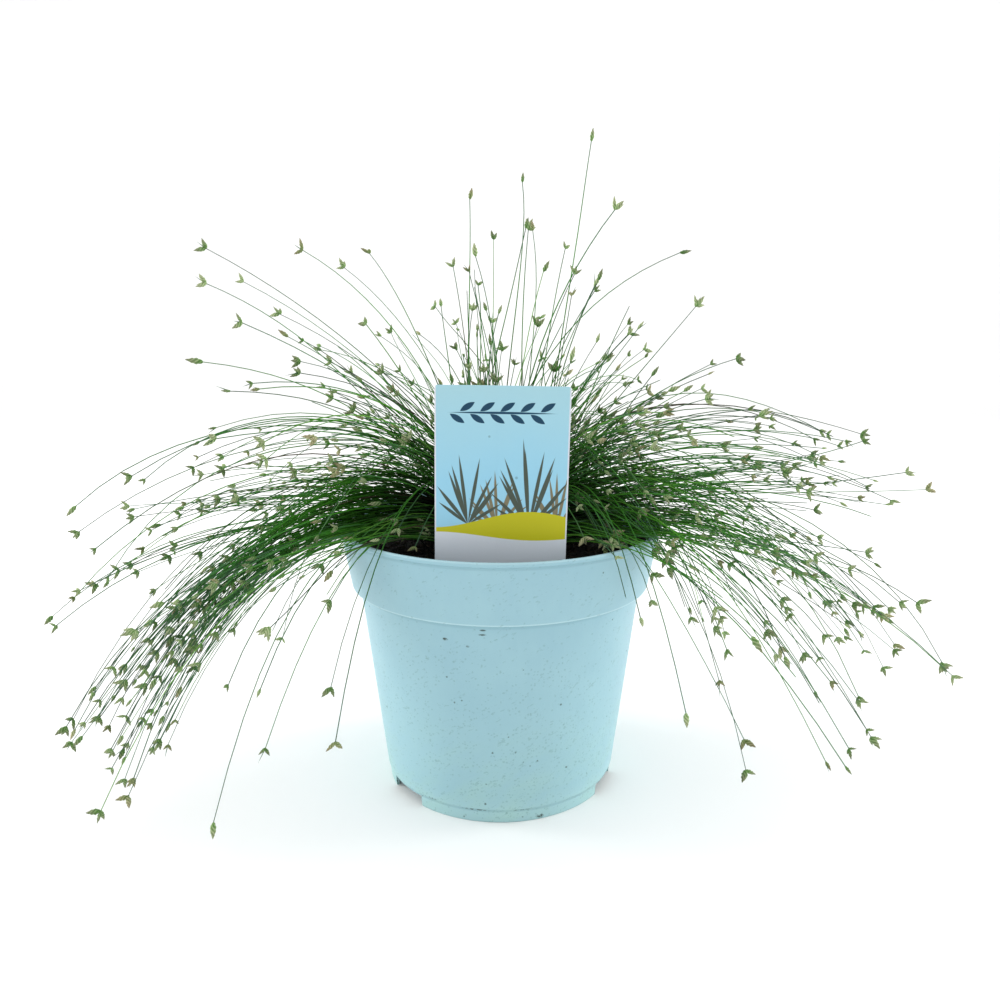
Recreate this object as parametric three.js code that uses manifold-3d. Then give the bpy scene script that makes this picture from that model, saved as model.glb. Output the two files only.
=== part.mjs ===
// A potted isolepis: a clump of hair-thin arching stems with small seed heads, in a tapered nursery pot.
// Millimetres, +Z up. The origin is the middle of the pot's underside, and the label card faces -Y.
import * as THREE from "three";
import { mergeVertices } from "three/addons/utils/BufferGeometryUtils.js";
import Module from "manifold-3d";

// Pot
const RIM_RADIUS = 70;
const POT_HEIGHT = 116.2;
const WALL = 1.2;
const LIP_HEIGHT = 2;
const LIP_OVERHANG = 1;
const LIP_ROUND = 0.3;
const COLLAR_HEIGHT = 26.2;
const COLLAR_FOOT_RADIUS = 64.7;
const BODY_TOP_RADIUS = 61.4;
const BODY_FOOT_RADIUS = 51.3;
const FOOT_RADIUS = 50.2;
const FOOT_HEIGHT = 5.6;
const FOOT_DRAFT = 0.4;
const PAD_RADIUS = 20;
const PAD_SLOPE = 3;
const POT_SIDES = 32;
const NOTCH_AZIMUTHS = [-53, 67, 187];
const NOTCH_WIDTH = 21;
const NOTCH_DEPTH = 14;
const NOTCH_HEIGHT = 5;
const DRAIN_HOLES = 6;
const DRAIN_RADIUS = 3.6;
const DRAIN_RING = 35;
const DRAIN_TURN = 7;
const DRAIN_SIDES = 8;

// Soil and crown
const GAP = 0.3;
const SOIL_SIDES = 16;
const SOIL_INSET = 2.2;
const SOIL_HEIGHT = 106.5;
const SOIL_LUMPS = 1.3;
const SOIL_RINGS = [
  { radius: 56, rise: 0.6 },
  { radius: 45, rise: 0.3 },
];
const CROWN_RADIUS = 33;
const CROWN_EDGE = 1;
const CROWN_RISE = 6.5;
const CROWN_RINGS = [33, 31, 26, 18, 9, 0];
const CROWN_SIDES = 14;
const FLAT_RADIUS = CROWN_RADIUS + 3;

// Label card
const CARD_WIDTH = 50;
const CARD_THICKNESS = 0.6;
const CARD_TOP = 178.6;
const CARD_FOOT = 94;
const CARD_CORNER = 2;
const CARD_SHOULDER = 6;
const STAKE_WIDTH = 13;
const STAKE_TIP = 46;
const STAKE_POINT = 14;
const CARD_BACK = 50;
const CARD_TURN = 0.9;
const CARD_LEAN = 2.5;

// Stems: thickness at a tuft's root and at its tips, and the seed head that ends each one
const STEM_SIDES = 3;
const ROOT_RADIUS = 1.8;
const SIDE_ROOT_RADIUS = 0.8;
const TIP_RADIUS = 0.45;
const HEAD_LENGTH = 6;
const HEAD_RADIUS = 1.3;
const HEAD_BULGE = 0.35;
const TWIN_SPLAY = 1.1;
const FORK_SHARE = 0.45;
const KNEE_TURN = 1.4;
const SMALLEST_DETAIL = 0.12;

// A tuft is one long stem and a shorter one at each side, with a turn in degrees and a share of its length
const FAN = [
  { turn: 0, share: 1 },
  { turn: 6.5, share: 0.87 },
  { turn: -6.5, share: 0.73 },
];

// A long stem passes over the rim partway along, by a height that grows with the height of its tip
const RIM_SHARE = 0.45;
const RIM_CLEARANCE = 4;
const CLEARANCE_GROWTH = 0.28;
const LOW_TIP = 25;
const CLOSEST_FALL = 92;

// A shorter stem bends at a share of its run and rise, and never starts flatter than a set slope
const LEAN = 0.3;
const RISE = 0.66;
const STEEPNESS = 1.75;

// Tufts that fall over the rim: azimuth in degrees from the front, reach and tip height
const HANGING = [
  [-40, 99, 50],
  [-53, 136, 22],
  [-65, 170, 20],
  [-80, 184, 34],
  [-91, 204, 72],
  [-109, 172, 38],
  [-129, 166, 22],
  [-150, 172, 52],
  [-171, 160, 32],
  [40, 94, 64],
  [56, 118, 34],
  [67, 158, 46],
  [80, 188, 64],
  [95, 184, 42],
  [110, 172, 66],
  [128, 164, 28],
  [148, 172, 54],
  [168, 164, 36],
];

// Tufts that arch outwards above the rim
const ARCHING = [
  [-45, 120, 102],
  [-65, 152, 92],
  [-83, 176, 130],
  [-100, 164, 110],
  [-119, 168, 134],
  [-141, 160, 98],
  [-164, 166, 124],
  [48, 122, 96],
  [66, 168, 104],
  [84, 178, 136],
  [106, 182, 150],
  [129, 160, 100],
  [151, 168, 132],
  [173, 158, 104],
];

// Tufts that spread upwards at a slant
const SPREADING = [
  [-57, 120, 164],
  [-72, 118, 188],
  [-88, 120, 218],
  [-106, 138, 235],
  [-132, 124, 190],
  [-162, 118, 210],
  [62, 108, 170],
  [80, 96, 188],
  [98, 84, 209],
  [117, 92, 233],
  [142, 124, 188],
  [169, 116, 204],
];

// Tufts that stand almost upright in the middle
const UPRIGHT = [
  [-22, 24, 226],
  [-78, 78, 230],
  [-125, 72, 233],
  [-163, 46, 256],
  [160, 26, 260],
  [112, 40, 275],
  [54, 52, 243],
];

const LAYERS = [
  { name: "hanging_stems", tufts: HANGING, ring: 28, steps: 5, clearsRim: true },
  { name: "arching_stems", tufts: ARCHING, ring: 21, steps: 4, clearsRim: true },
  { name: "spreading_stems", tufts: SPREADING, ring: 15, steps: 3, clearsRim: false },
  { name: "upright_stems", tufts: UPRIGHT, ring: 7, steps: 3, clearsRim: false },
];

const wasm = await Module();
wasm.setup();

// Closed geometry as a solid that can be joined and cut
function solidOf(geometry) {
  const bare = geometry.index ? geometry.toNonIndexed() : geometry.clone();
  bare.deleteAttribute("normal");
  bare.deleteAttribute("uv");
  const merged = mergeVertices(bare, 1e-3);
  const corners = [];
  const index = merged.index.array;
  for (let i = 0; i < index.length; i += 3) {
    const [a, b, c] = [index[i], index[i + 1], index[i + 2]];
    if (a !== b && b !== c && c !== a) corners.push(a, b, c);
  }
  return new wasm.Manifold(
    new wasm.Mesh({
      numProp: 3,
      vertProperties: merged.attributes.position.array,
      triVerts: new Uint32Array(corners),
    }),
  );
}

function geometryOf(solid) {
  const mesh = solid.getMesh();
  const geometry = new THREE.BufferGeometry();
  geometry.setAttribute("position", new THREE.BufferAttribute(mesh.vertProperties, 3));
  geometry.setIndex(new THREE.BufferAttribute(mesh.triVerts, 1));
  geometry.computeVertexNormals();
  return geometry;
}

// A profile of [radius, height] points turned around the Z axis
function turned(points, sides) {
  const profile = points.map(([radius, height]) => new THREE.Vector2(radius, height));
  return new THREE.LatheGeometry(profile, sides).rotateX(Math.PI / 2);
}

const radians = THREE.MathUtils.degToRad;

// The horizontal direction at an azimuth: 0 is the front, 90 the right
function outward(azimuth) {
  return new THREE.Vector3(Math.sin(radians(azimuth)), -Math.cos(radians(azimuth)), 0);
}

const material = (name, color, roughness) =>
  new THREE.MeshStandardMaterial({ name, color, roughness, metalness: 0 });

const POT_PLASTIC = material("pot_plastic", 0xa9cfd6, 0.45);
const POTTING_SOIL = material("potting_soil", 0x2c2118, 0.95);
const CROWN_MAT = material("crown_fibre", 0x3f4a1f, 0.9);
const LABEL_CARD = material("label_card", 0xb9d9e6, 0.35);
const STEM_GREEN = material("stem_green", 0x3c7a2c, 0.6);

const COLLAR_FOOT = POT_HEIGHT - COLLAR_HEIGHT;
const INNER_LEDGE = COLLAR_FOOT - WALL / 2;
const FLOOR_TOP = FOOT_HEIGHT + WALL;

// The pot's inner wall, from the rim down to the floor's edge
const POT_INSIDE = [
  [RIM_RADIUS - LIP_OVERHANG - WALL, POT_HEIGHT - LIP_HEIGHT],
  [COLLAR_FOOT_RADIUS - WALL, COLLAR_FOOT + WALL],
  [BODY_TOP_RADIUS - WALL, INNER_LEDGE],
  [BODY_FOOT_RADIUS - WALL, FLOOR_TOP],
];

function makePot() {
  const shell = turned(
    [
      [0, 0],
      [PAD_RADIUS, 0],
      [PAD_RADIUS + PAD_SLOPE, FOOT_HEIGHT],
      [FOOT_RADIUS - WALL - FOOT_DRAFT, FOOT_HEIGHT],
      [FOOT_RADIUS - WALL, 0],
      [FOOT_RADIUS, 0],
      [FOOT_RADIUS + FOOT_DRAFT, FOOT_HEIGHT - FOOT_DRAFT],
      [BODY_FOOT_RADIUS, FOOT_HEIGHT + 2 * FOOT_DRAFT],
      [BODY_TOP_RADIUS, COLLAR_FOOT],
      [COLLAR_FOOT_RADIUS, COLLAR_FOOT],
      [RIM_RADIUS - LIP_OVERHANG, POT_HEIGHT - LIP_HEIGHT],
      [RIM_RADIUS, POT_HEIGHT - LIP_HEIGHT + LIP_ROUND],
      [RIM_RADIUS - LIP_ROUND, POT_HEIGHT],
      [RIM_RADIUS - LIP_OVERHANG - WALL / 2, POT_HEIGHT],
      ...POT_INSIDE,
      [PAD_RADIUS + PAD_SLOPE - WALL / 2, FLOOR_TOP],
      [PAD_RADIUS - WALL / 2, WALL],
      [0, WALL],
    ],
    POT_SIDES,
  );
  let pot = solidOf(shell);
  for (const azimuth of NOTCH_AZIMUTHS) {
    const notch = new THREE.BoxGeometry(NOTCH_WIDTH, NOTCH_DEPTH, 2 * NOTCH_HEIGHT);
    notch.rotateZ(radians(azimuth));
    const middle = outward(azimuth).multiplyScalar(FOOT_RADIUS);
    notch.translate(middle.x, middle.y, 0);
    pot = pot.subtract(solidOf(notch));
  }
  for (let i = 0; i < DRAIN_HOLES; i++) {
    const hole = new THREE.CylinderGeometry(DRAIN_RADIUS, DRAIN_RADIUS, 4 * WALL, DRAIN_SIDES);
    hole.rotateX(Math.PI / 2);
    const middle = outward((360 * i) / DRAIN_HOLES + DRAIN_TURN).multiplyScalar(DRAIN_RING);
    hole.translate(middle.x, middle.y, FLOOR_TOP);
    pot = pot.subtract(solidOf(hole));
  }
  return pot;
}

// The card's outline with its stake, grown by a margin on every side
function cardSolid(margin) {
  const half = CARD_WIDTH / 2 + margin;
  const stake = STAKE_WIDTH / 2 + margin;
  const shoulder = CARD_FOOT - margin;
  const top = CARD_TOP + margin;
  const rightSide = [
    [stake, STAKE_TIP + STAKE_POINT],
    [stake, shoulder - CARD_SHOULDER],
    [half - CARD_SHOULDER, shoulder],
    [half, shoulder + CARD_SHOULDER],
    [half, top - CARD_CORNER],
    [half - CARD_CORNER, top],
  ];
  const leftSide = rightSide.map(([across, up]) => [-across, up]).reverse();
  const outline = new THREE.Shape();
  outline.moveTo(0, STAKE_TIP - 2 * margin);
  for (const [across, up] of [...rightSide, ...leftSide]) outline.lineTo(across, up);
  const depth = CARD_THICKNESS + 2 * margin;
  const card = new THREE.ExtrudeGeometry(outline, { depth, bevelEnabled: false });
  // The outline is drawn in X and Y: it is stood up, centred in depth, and leant about soil level
  card.rotateX(Math.PI / 2);
  card.translate(0, depth / 2, -SOIL_HEIGHT);
  card.rotateY(radians(CARD_TURN));
  card.rotateX(radians(CARD_LEAN));
  card.translate(0, -CARD_BACK, SOIL_HEIGHT);
  return solidOf(card);
}

// A low lump pattern around the soil, zero at the flat middle under the crown
function soilLump(radius, angle) {
  return SOIL_LUMPS * (Math.sin(3 * angle + radius) + 0.6 * Math.sin(7 * angle - 0.3 * radius));
}

function makeSoil() {
  const wall = POT_INSIDE.slice(1).map(([radius, height]) => [radius - GAP, height + GAP]);
  const edge = RIM_RADIUS - LIP_OVERHANG - WALL - GAP - SOIL_INSET;
  const geometry = turned(
    [
      [0, WALL + GAP],
      [PAD_RADIUS - WALL / 2 - GAP, WALL + GAP],
      [PAD_RADIUS + PAD_SLOPE - WALL / 2 - GAP, FLOOR_TOP + GAP],
      ...wall.reverse(),
      [edge, SOIL_HEIGHT],
      ...SOIL_RINGS.map(({ radius, rise }) => [radius, SOIL_HEIGHT + rise]),
      [FLAT_RADIUS - 1, SOIL_HEIGHT],
      [0, SOIL_HEIGHT],
    ],
    SOIL_SIDES,
  );
  const place = geometry.getAttribute("position");
  for (let i = 0; i < place.count; i++) {
    const radius = Math.hypot(place.getX(i), place.getY(i));
    if (place.getZ(i) < SOIL_HEIGHT - 1 || radius < FLAT_RADIUS) continue;
    const angle = Math.atan2(place.getY(i), place.getX(i));
    place.setZ(i, place.getZ(i) + soilLump(Math.round(radius), angle));
  }
  return solidOf(geometry).subtract(cardSolid(GAP));
}

// The crown's upper surface, a low dome
function crownHeight(radius) {
  const share = Math.min(radius / CROWN_RADIUS, 1);
  return SOIL_HEIGHT + GAP + CROWN_EDGE + (CROWN_RISE - CROWN_EDGE) * Math.sqrt(1 - share * share);
}

function makeCrown() {
  const geometry = turned(
    [
      [0, SOIL_HEIGHT + GAP],
      [CROWN_RADIUS - CROWN_EDGE, SOIL_HEIGHT + GAP],
      ...CROWN_RINGS.map((radius) => [radius, crownHeight(radius)]),
    ],
    CROWN_SIDES,
  );
  return solidOf(geometry);
}

// The point that bends a stem: one of the outer layers passes over the rim, and any other leans out evenly
function kneeOf({ ring, clearsRim }, root, reach, height) {
  if (!clearsRim) {
    const run = LEAN * (reach - ring);
    return [ring + run, root + Math.max(RISE * (height - root), STEEPNESS * run)];
  }
  const before = (1 - RIM_SHARE) ** 2;
  const after = RIM_SHARE ** 2;
  const bend = 2 * RIM_SHARE * (1 - RIM_SHARE);
  const clearance = RIM_CLEARANCE + CLEARANCE_GROWTH * Math.max(height - LOW_TIP, 0);
  const radius = (RIM_RADIUS - before * ring - after * reach) / bend;
  return [radius, (POT_HEIGHT + clearance - before * root - after * height) / bend];
}

// A stem tapers along its curve and swells into a pointed seed head past the curve's end
function stemSolid(curve, sideways, rootRadius, steps) {
  const rows = steps + 2;
  const geometry = new THREE.CylinderGeometry(1, 1, 1, STEM_SIDES, rows);
  const place = geometry.getAttribute("position");
  const tip = curve.getPoint(1);
  const ahead = curve.getTangent(1);
  for (let i = 0; i < place.count; i++) {
    const row = Math.round((place.getY(i) + 0.5) * rows);
    const along = Math.min(row / steps, 1);
    let radius = THREE.MathUtils.lerp(rootRadius, TIP_RADIUS, along);
    const middle = curve.getPoint(along);
    if (row === steps + 1) {
      radius = HEAD_RADIUS;
      middle.copy(tip).addScaledVector(ahead, HEAD_BULGE * HEAD_LENGTH);
    } else if (row === rows) {
      radius = TIP_RADIUS / 2;
      middle.copy(tip).addScaledVector(ahead, HEAD_LENGTH);
    }
    const lift = new THREE.Vector3().crossVectors(sideways, curve.getTangent(along)).normalize();
    middle.addScaledVector(sideways, radius * place.getX(i));
    middle.addScaledVector(lift, radius * place.getZ(i));
    place.setXYZ(i, middle.x, middle.y, middle.z);
  }
  return solidOf(geometry);
}

// The second seed head of a long stem, turned aside from the first
function twinHead(curve, sideways) {
  const direction = curve.getTangent(1).addScaledVector(sideways, TWIN_SPLAY).normalize();
  const head = new THREE.OctahedronGeometry(1);
  head.scale(HEAD_RADIUS, HEAD_LENGTH / 2, HEAD_RADIUS);
  const up = new THREE.Vector3(0, 1, 0);
  head.applyQuaternion(new THREE.Quaternion().setFromUnitVectors(up, direction));
  const middle = curve.getPoint(1).addScaledVector(direction, HEAD_LENGTH / 2);
  return solidOf(head.translate(middle.x, middle.y, middle.z));
}

// A tuft: its side stems fork from the long stem just above the crown
function tuftSolid(layer, [azimuth, reach, height]) {
  const root = crownHeight(layer.ring) + GAP + ROOT_RADIUS;
  let start = outward(azimuth).multiplyScalar(layer.ring).setZ(root);
  let tuft = null;
  for (const { turn, share } of FAN) {
    const tipHeight = root + share * (height - root);
    const closest = layer.clearsRim ? CLOSEST_FALL : 0;
    const tipReach = Math.max(layer.ring + share * (reach - layer.ring), closest);
    const [kneeRadius, kneeHeight] = kneeOf(layer, root, tipReach, tipHeight);
    const knee = outward(azimuth + KNEE_TURN * turn).multiplyScalar(kneeRadius).setZ(kneeHeight);
    const tip = outward(azimuth + turn).multiplyScalar(tipReach).setZ(tipHeight);
    const curve = new THREE.QuadraticBezierCurve3(start, knee, tip);
    const sideways = outward(azimuth + 0.5 * turn + 90);
    const stem = stemSolid(curve, sideways, tuft ? SIDE_ROOT_RADIUS : ROOT_RADIUS, layer.steps);
    if (tuft) {
      tuft = tuft.add(stem);
    } else {
      tuft = stem.add(twinHead(curve, sideways));
      start = start.clone().lerp(curve.getPoint(1 / layer.steps), FORK_SHARE);
    }
  }
  return tuft.simplify(SMALLEST_DETAIL);
}

const plant = new THREE.Group();

function place(name, solid, surface) {
  const mesh = new THREE.Mesh(geometryOf(solid), surface);
  mesh.name = name;
  plant.add(mesh);
}

place("pot", makePot(), POT_PLASTIC);
place("soil", makeSoil(), POTTING_SOIL);
place("crown", makeCrown(), CROWN_MAT);
place("label_card", cardSolid(0), LABEL_CARD);
for (const layer of LAYERS) {
  layer.tufts.forEach((tuft, i) => {
    const number = String(i + 1).padStart(2, "0");
    place(`${layer.name}_${number}`, tuftSolid(layer, tuft), STEM_GREEN);
  });
}

export default plant;
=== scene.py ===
# %% [markdown]
# # Fibre-optic grass in a nursery pot
# The plant is a clump of hair-thin stems, each ending in a small seed head, in a tapered light blue pot of
# thin plastic. A plant label stands at the front. The solid model gives every piece's place and size, and
# this script dresses it: it is loaded first, and its box is kept so that the finished plant can be compared
# with it.

import math
import random

import bmesh
import bpy
import numpy as np
from mathutils import Matrix, Vector, noise


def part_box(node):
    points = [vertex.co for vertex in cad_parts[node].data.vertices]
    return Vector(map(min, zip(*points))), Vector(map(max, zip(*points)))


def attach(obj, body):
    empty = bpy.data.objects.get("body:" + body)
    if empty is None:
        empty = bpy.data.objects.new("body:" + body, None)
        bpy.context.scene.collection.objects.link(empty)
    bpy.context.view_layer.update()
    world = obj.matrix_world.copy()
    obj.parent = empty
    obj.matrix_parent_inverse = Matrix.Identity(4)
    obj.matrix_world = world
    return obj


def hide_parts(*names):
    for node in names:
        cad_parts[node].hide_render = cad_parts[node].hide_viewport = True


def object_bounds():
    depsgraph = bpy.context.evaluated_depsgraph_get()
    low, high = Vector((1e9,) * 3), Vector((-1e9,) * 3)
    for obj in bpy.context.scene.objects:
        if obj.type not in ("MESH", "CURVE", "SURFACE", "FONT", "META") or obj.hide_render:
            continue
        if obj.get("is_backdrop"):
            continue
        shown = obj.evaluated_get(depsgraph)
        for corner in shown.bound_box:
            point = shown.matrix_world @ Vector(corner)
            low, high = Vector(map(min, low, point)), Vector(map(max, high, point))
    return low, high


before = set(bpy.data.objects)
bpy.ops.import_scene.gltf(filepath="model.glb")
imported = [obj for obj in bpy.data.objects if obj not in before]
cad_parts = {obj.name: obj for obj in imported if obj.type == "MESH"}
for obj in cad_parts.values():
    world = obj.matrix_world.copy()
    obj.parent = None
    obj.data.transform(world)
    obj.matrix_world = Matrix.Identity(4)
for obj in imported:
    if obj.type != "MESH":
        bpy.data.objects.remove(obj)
cad_low, cad_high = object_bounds()
MM = 0.001
PER_MM = 1000.0
ROOT = "root"
print("solids:", len(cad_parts), "box in mm:", [round(side / MM) for side in cad_high - cad_low])

# %% [markdown]
# ## Camera
# The camera stands where the pot's outline says that it stood: the rim and the foot are ellipses, and how
# flat each one is gives the height and the distance. White stays white with the plain colour transform.

# %% Camera
CAMERA_PLACE = Vector((0.0, -0.368, 0.2031))
CAMERA_PITCH = math.radians(12.03)
CAMERA_LENS = 30.99

scene = bpy.context.scene
camera = bpy.data.objects.new("camera", bpy.data.cameras.new("camera"))
camera.data.lens = CAMERA_LENS
camera.data.sensor_width = 36.0
camera.data.clip_start = 0.01
camera.location = CAMERA_PLACE
camera.rotation_euler = (math.radians(90) - CAMERA_PITCH, 0.0, 0.0)
scene.collection.objects.link(camera)
scene.camera = camera
scene.view_settings.view_transform = "Standard"
print("camera at", [round(side, 3) for side in camera.location])

# %% [markdown]
# ## Floor and light
# The plant stands on a pale sweep, a floor that curves up behind, so that no horizon shows. A white sky
# fills the shadows, and one broad lamp gives the top light. Two lamps stand at the sides and a little
# behind, which makes the pot's edges brighter than its front. The last one lights only the back of the
# sweep, to turn it white.

# %% Floor
SWEEP_FRONT = -1.6
SWEEP_BACK = 1.5
SWEEP_HALF_WIDTH = 3.0
SWEEP_BEND = 0.9
SWEEP_TOP = 2.6
BEND_STEPS = 24


def make_sweep():
    """The floor: level where the plant stands, and bent up behind it by a quarter of a circle."""
    side_view = [(SWEEP_FRONT, 0.0)]
    for step in range(BEND_STEPS + 1):
        angle = math.radians(90) * step / BEND_STEPS
        side_view.append((SWEEP_BACK + SWEEP_BEND * math.sin(angle), SWEEP_BEND * (1 - math.cos(angle))))
    side_view.append((SWEEP_BACK + SWEEP_BEND, SWEEP_TOP))
    corners = [(side * SWEEP_HALF_WIDTH, y, z) for y, z in side_view for side in (-1, 1)]
    faces = [(2 * i, 2 * i + 1, 2 * i + 3, 2 * i + 2) for i in range(len(side_view) - 1)]
    mesh = bpy.data.meshes.new("sweep")
    mesh.from_pydata(corners, [], faces)
    mesh.shade_smooth()
    sweep = bpy.data.objects.new("sweep", mesh)
    scene.collection.objects.link(sweep)
    sweep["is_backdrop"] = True
    return sweep


sweep = make_sweep()
print("sweep faces:", len(sweep.data.polygons))

# %% Lamps and sky
LAMPS = [
    {"name": "top_light", "place": (-0.25, -0.35, 1.5), "size": 1.1, "watts": 2.0, "aim": (0.0, 0.0, 0.1)},
    {"name": "left_light", "place": (-1.2, 0.25, 0.28), "size": 0.5, "watts": 10.0, "aim": (0.0, 0.0, 0.14)},
    {"name": "right_light", "place": (1.2, 0.25, 0.28), "size": 0.5, "watts": 10.0, "aim": (0.0, 0.0, 0.14)},
    {"name": "back_light", "place": (0.0, 0.6, 1.9), "size": 2.0, "watts": 6.0, "aim": (0.0, 2.3, 0.6)},
]
SKY_STRENGTH = 1.0

for lamp in LAMPS:
    data = bpy.data.lights.new(lamp["name"], "AREA")
    data.shape = "DISK"
    data.size = lamp["size"]
    data.energy = lamp["watts"]
    light = bpy.data.objects.new(lamp["name"], data)
    light.location = lamp["place"]
    aim = Vector(lamp["aim"]) - light.location
    light.rotation_euler = aim.to_track_quat("-Z", "Y").to_euler()
    light.visible_camera = False
    scene.collection.objects.link(light)

scene.world = bpy.data.worlds.new("sky")
scene.world.use_nodes = True
sky = scene.world.node_tree.nodes["Background"]
sky.inputs["Color"].default_value = (1.0, 1.0, 1.0, 1.0)
sky.inputs["Strength"].default_value = SKY_STRENGTH
print("lamps:", len(LAMPS))

# %% [markdown]
# ## Helpers for node trees
# Every finish is a small tree of shader nodes. These helpers add one node each and hand back its socket, so
# that a finish reads like a formula. What a helper is given as an input may be a number, a colour or
# another socket.

# %% Node helpers
def put(tree, kind, inputs=None, **settings):
    """Adds a node: an input that is given a socket is linked to it, and any other value is set."""
    node = tree.nodes.new(kind)
    for name, value in settings.items():
        setattr(node, name, value)
    for name, value in (inputs or {}).items():
        if isinstance(value, bpy.types.NodeSocket):
            tree.links.new(value, node.inputs[name])
        else:
            node.inputs[name].default_value = value
    return node


def calc(tree, operation, first, second=0.0, third=0.0):
    """One Math node: a sum, a product or the like, of up to three values."""
    values = {0: first, 1: second, 2: third}
    return put(tree, "ShaderNodeMath", values, operation=operation).outputs[0]


def blend_colours(tree, share, first, second):
    """The first colour, covered by a share of the second. A Mix node's colours are its sockets 6, 7 and 2."""
    node = put(tree, "ShaderNodeMix", {0: share, 6: first, 7: second}, data_type="RGBA")
    return node.outputs[2]


def fit_range(tree, value, low, high, new_low=0.0, new_high=1.0, smooth=False):
    """A value moved from one range to another one. It never leaves the new range."""
    kind = "SMOOTHSTEP" if smooth else "LINEAR"
    inputs = {"Value": value, "From Min": low, "From Max": high, "To Min": new_low, "To Max": new_high}
    return put(tree, "ShaderNodeMapRange", inputs, interpolation_type=kind).outputs["Result"]


def noise_value(tree, where, size_mm, detail=3.0, roughness=0.55):
    """A smooth random pattern between 0 and 1, with lumps of about that size."""
    scale = calc(tree, "DIVIDE", PER_MM, size_mm)
    inputs = {"Vector": where, "Scale": scale, "Detail": detail, "Roughness": roughness}
    return put(tree, "ShaderNodeTexNoise", inputs).outputs["Fac"]


def move_point(tree, where, step, operation="ADD"):
    """A position with a step added to it or, with another operation, taken from it."""
    return put(tree, "ShaderNodeVectorMath", {0: where, 1: step}, operation=operation).outputs["Vector"]


def scaled(tree, values, factor):
    """A vector or a colour times a number."""
    inputs = {0: values, "Scale": factor}
    return put(tree, "ShaderNodeVectorMath", inputs, operation="SCALE").outputs["Vector"]


def stretched(tree, where, across, along):
    """The position squeezed level and upright by two factors, so that a pattern gets longer one way."""
    inputs = {"Vector": where, "Scale": (across, across, along)}
    return put(tree, "ShaderNodeMapping", inputs).outputs["Vector"]


def position_of(tree):
    """The place of each point of the surface, in metres along the piece's own axes."""
    return put(tree, "ShaderNodeTexCoord").outputs["Object"]


def colour(red, green, blue):
    """A colour as the nodes want it: three linear values, and 1 for opaque."""
    return (red, green, blue, 1.0)


print("node helpers ready")

# %% Group helper
def new_group(name, inputs, outputs):
    """A shader node group with named sockets: the group, its inputs to read and its outputs to feed."""
    group = bpy.data.node_groups.new(name, "ShaderNodeTree")
    for label, kind, start in inputs:
        socket = group.interface.new_socket(label, in_out="INPUT", socket_type=kind)
        if start is not None:
            socket.default_value = start
    for label, kind in outputs:
        group.interface.new_socket(label, in_out="OUTPUT", socket_type=kind)
    read = group.nodes.new("NodeGroupInput").outputs
    feed = group.nodes.new("NodeGroupOutput").inputs
    return group, read, feed


def use_group(tree, group, inputs):
    """Places a group in a tree with values of its own. Returns the group's outputs."""
    return put(tree, "ShaderNodeGroup", inputs, node_tree=group).outputs


def new_material(name):
    """A material with an empty Principled shader. Returns the material, its tree and the shader's inputs."""
    material = bpy.data.materials.new(name)
    material.use_nodes = True
    tree = material.node_tree
    return material, tree, tree.nodes["Principled BSDF"].inputs


def raise_surface(tree, shader, height, depth_mm):
    """Feeds a height between 0 and 1 to the shader's Normal through a Bump node of that depth."""
    inputs = {"Height": height, "Distance": depth_mm * MM, "Strength": 1.0}
    tree.links.new(put(tree, "ShaderNodeBump", inputs).outputs["Normal"], shader["Normal"])


print("group helpers ready")

# %% [markdown]
# ## Shared effects
# Most of these effects serve more than one finish, or one finish at many places, so each is a node group: a
# soft mottle that breaks up an even colour, small specks of soil that stick to plastic, scuffs that come in
# clusters, a smudge at one place, and the tint of a living stem, which changes from its root to its tip. A
# group puts out only masks and colours, and each finish mixes them with values of its own.

# %% Mottle
FLOAT = "NodeSocketFloat"
VECTOR = "NodeSocketVector"
COLOUR = "NodeSocketColor"
# Most of a noise lies between these two values
NOISE_SPAN = (0.3, 0.7)


def make_mottle():
    """Two sizes of noise, mixed: a broad patchiness and a fine grain."""
    inputs = [("Position", VECTOR, None), ("Broad Size", FLOAT, 30.0), ("Fine Size", FLOAT, 1.0)]
    group, read, feed = new_group("mottle", inputs, [("Patches", FLOAT), ("Grain", FLOAT)])
    for size, output, detail in (("Broad Size", "Patches", 3.0), ("Fine Size", "Grain", 4.0)):
        pattern = noise_value(group, read["Position"], read[size], detail, roughness=0.6)
        group.links.new(fit_range(group, pattern, *NOISE_SPAN), feed[output])
    return group


MOTTLE = make_mottle()
print("group:", MOTTLE.name)

# %% Specks
# A speck's radius is the given size times the sum of this and a random number from 0 to 1
LEAST_SPECK = 0.35
# The share of the radius that lies inside a speck's soft edge
SPECK_CORE = 0.6


def make_specks():
    """Small round specks: each cell of a Voronoi pattern holds one or none, at a random size."""
    inputs = [
        ("Position", VECTOR, None),
        ("Spacing", FLOAT, 4.0),
        ("Amount", FLOAT, 0.3),
        ("Size", FLOAT, 0.2),
    ]
    group, read, feed = new_group("specks", inputs, [("Mask", FLOAT)])
    scale = calc(group, "DIVIDE", PER_MM, read["Spacing"])
    cells = put(group, "ShaderNodeTexVoronoi", {"Vector": read["Position"], "Scale": scale})
    split = put(group, "ShaderNodeSeparateColor", {"Color": cells.outputs["Color"]}).outputs
    chosen = calc(group, "LESS_THAN", split["Red"], read["Amount"])
    edge = calc(group, "MULTIPLY", read["Size"], calc(group, "ADD", split["Green"], LEAST_SPECK))
    inner = calc(group, "MULTIPLY", edge, SPECK_CORE)
    dot = fit_range(group, cells.outputs["Distance"], inner, edge, 1.0, 0.0)
    group.links.new(calc(group, "MULTIPLY", dot, chosen), feed["Mask"])
    return group


SPECKS = make_specks()
print("group:", SPECKS.name)

# %% Scuffs
# Levels of the broad noise between which a cluster grows, and of the fine noise above which a scuff shows
CLUSTER_LEVELS = (0.40, 0.66)
SCUFF_LEVEL = 0.64
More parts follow.
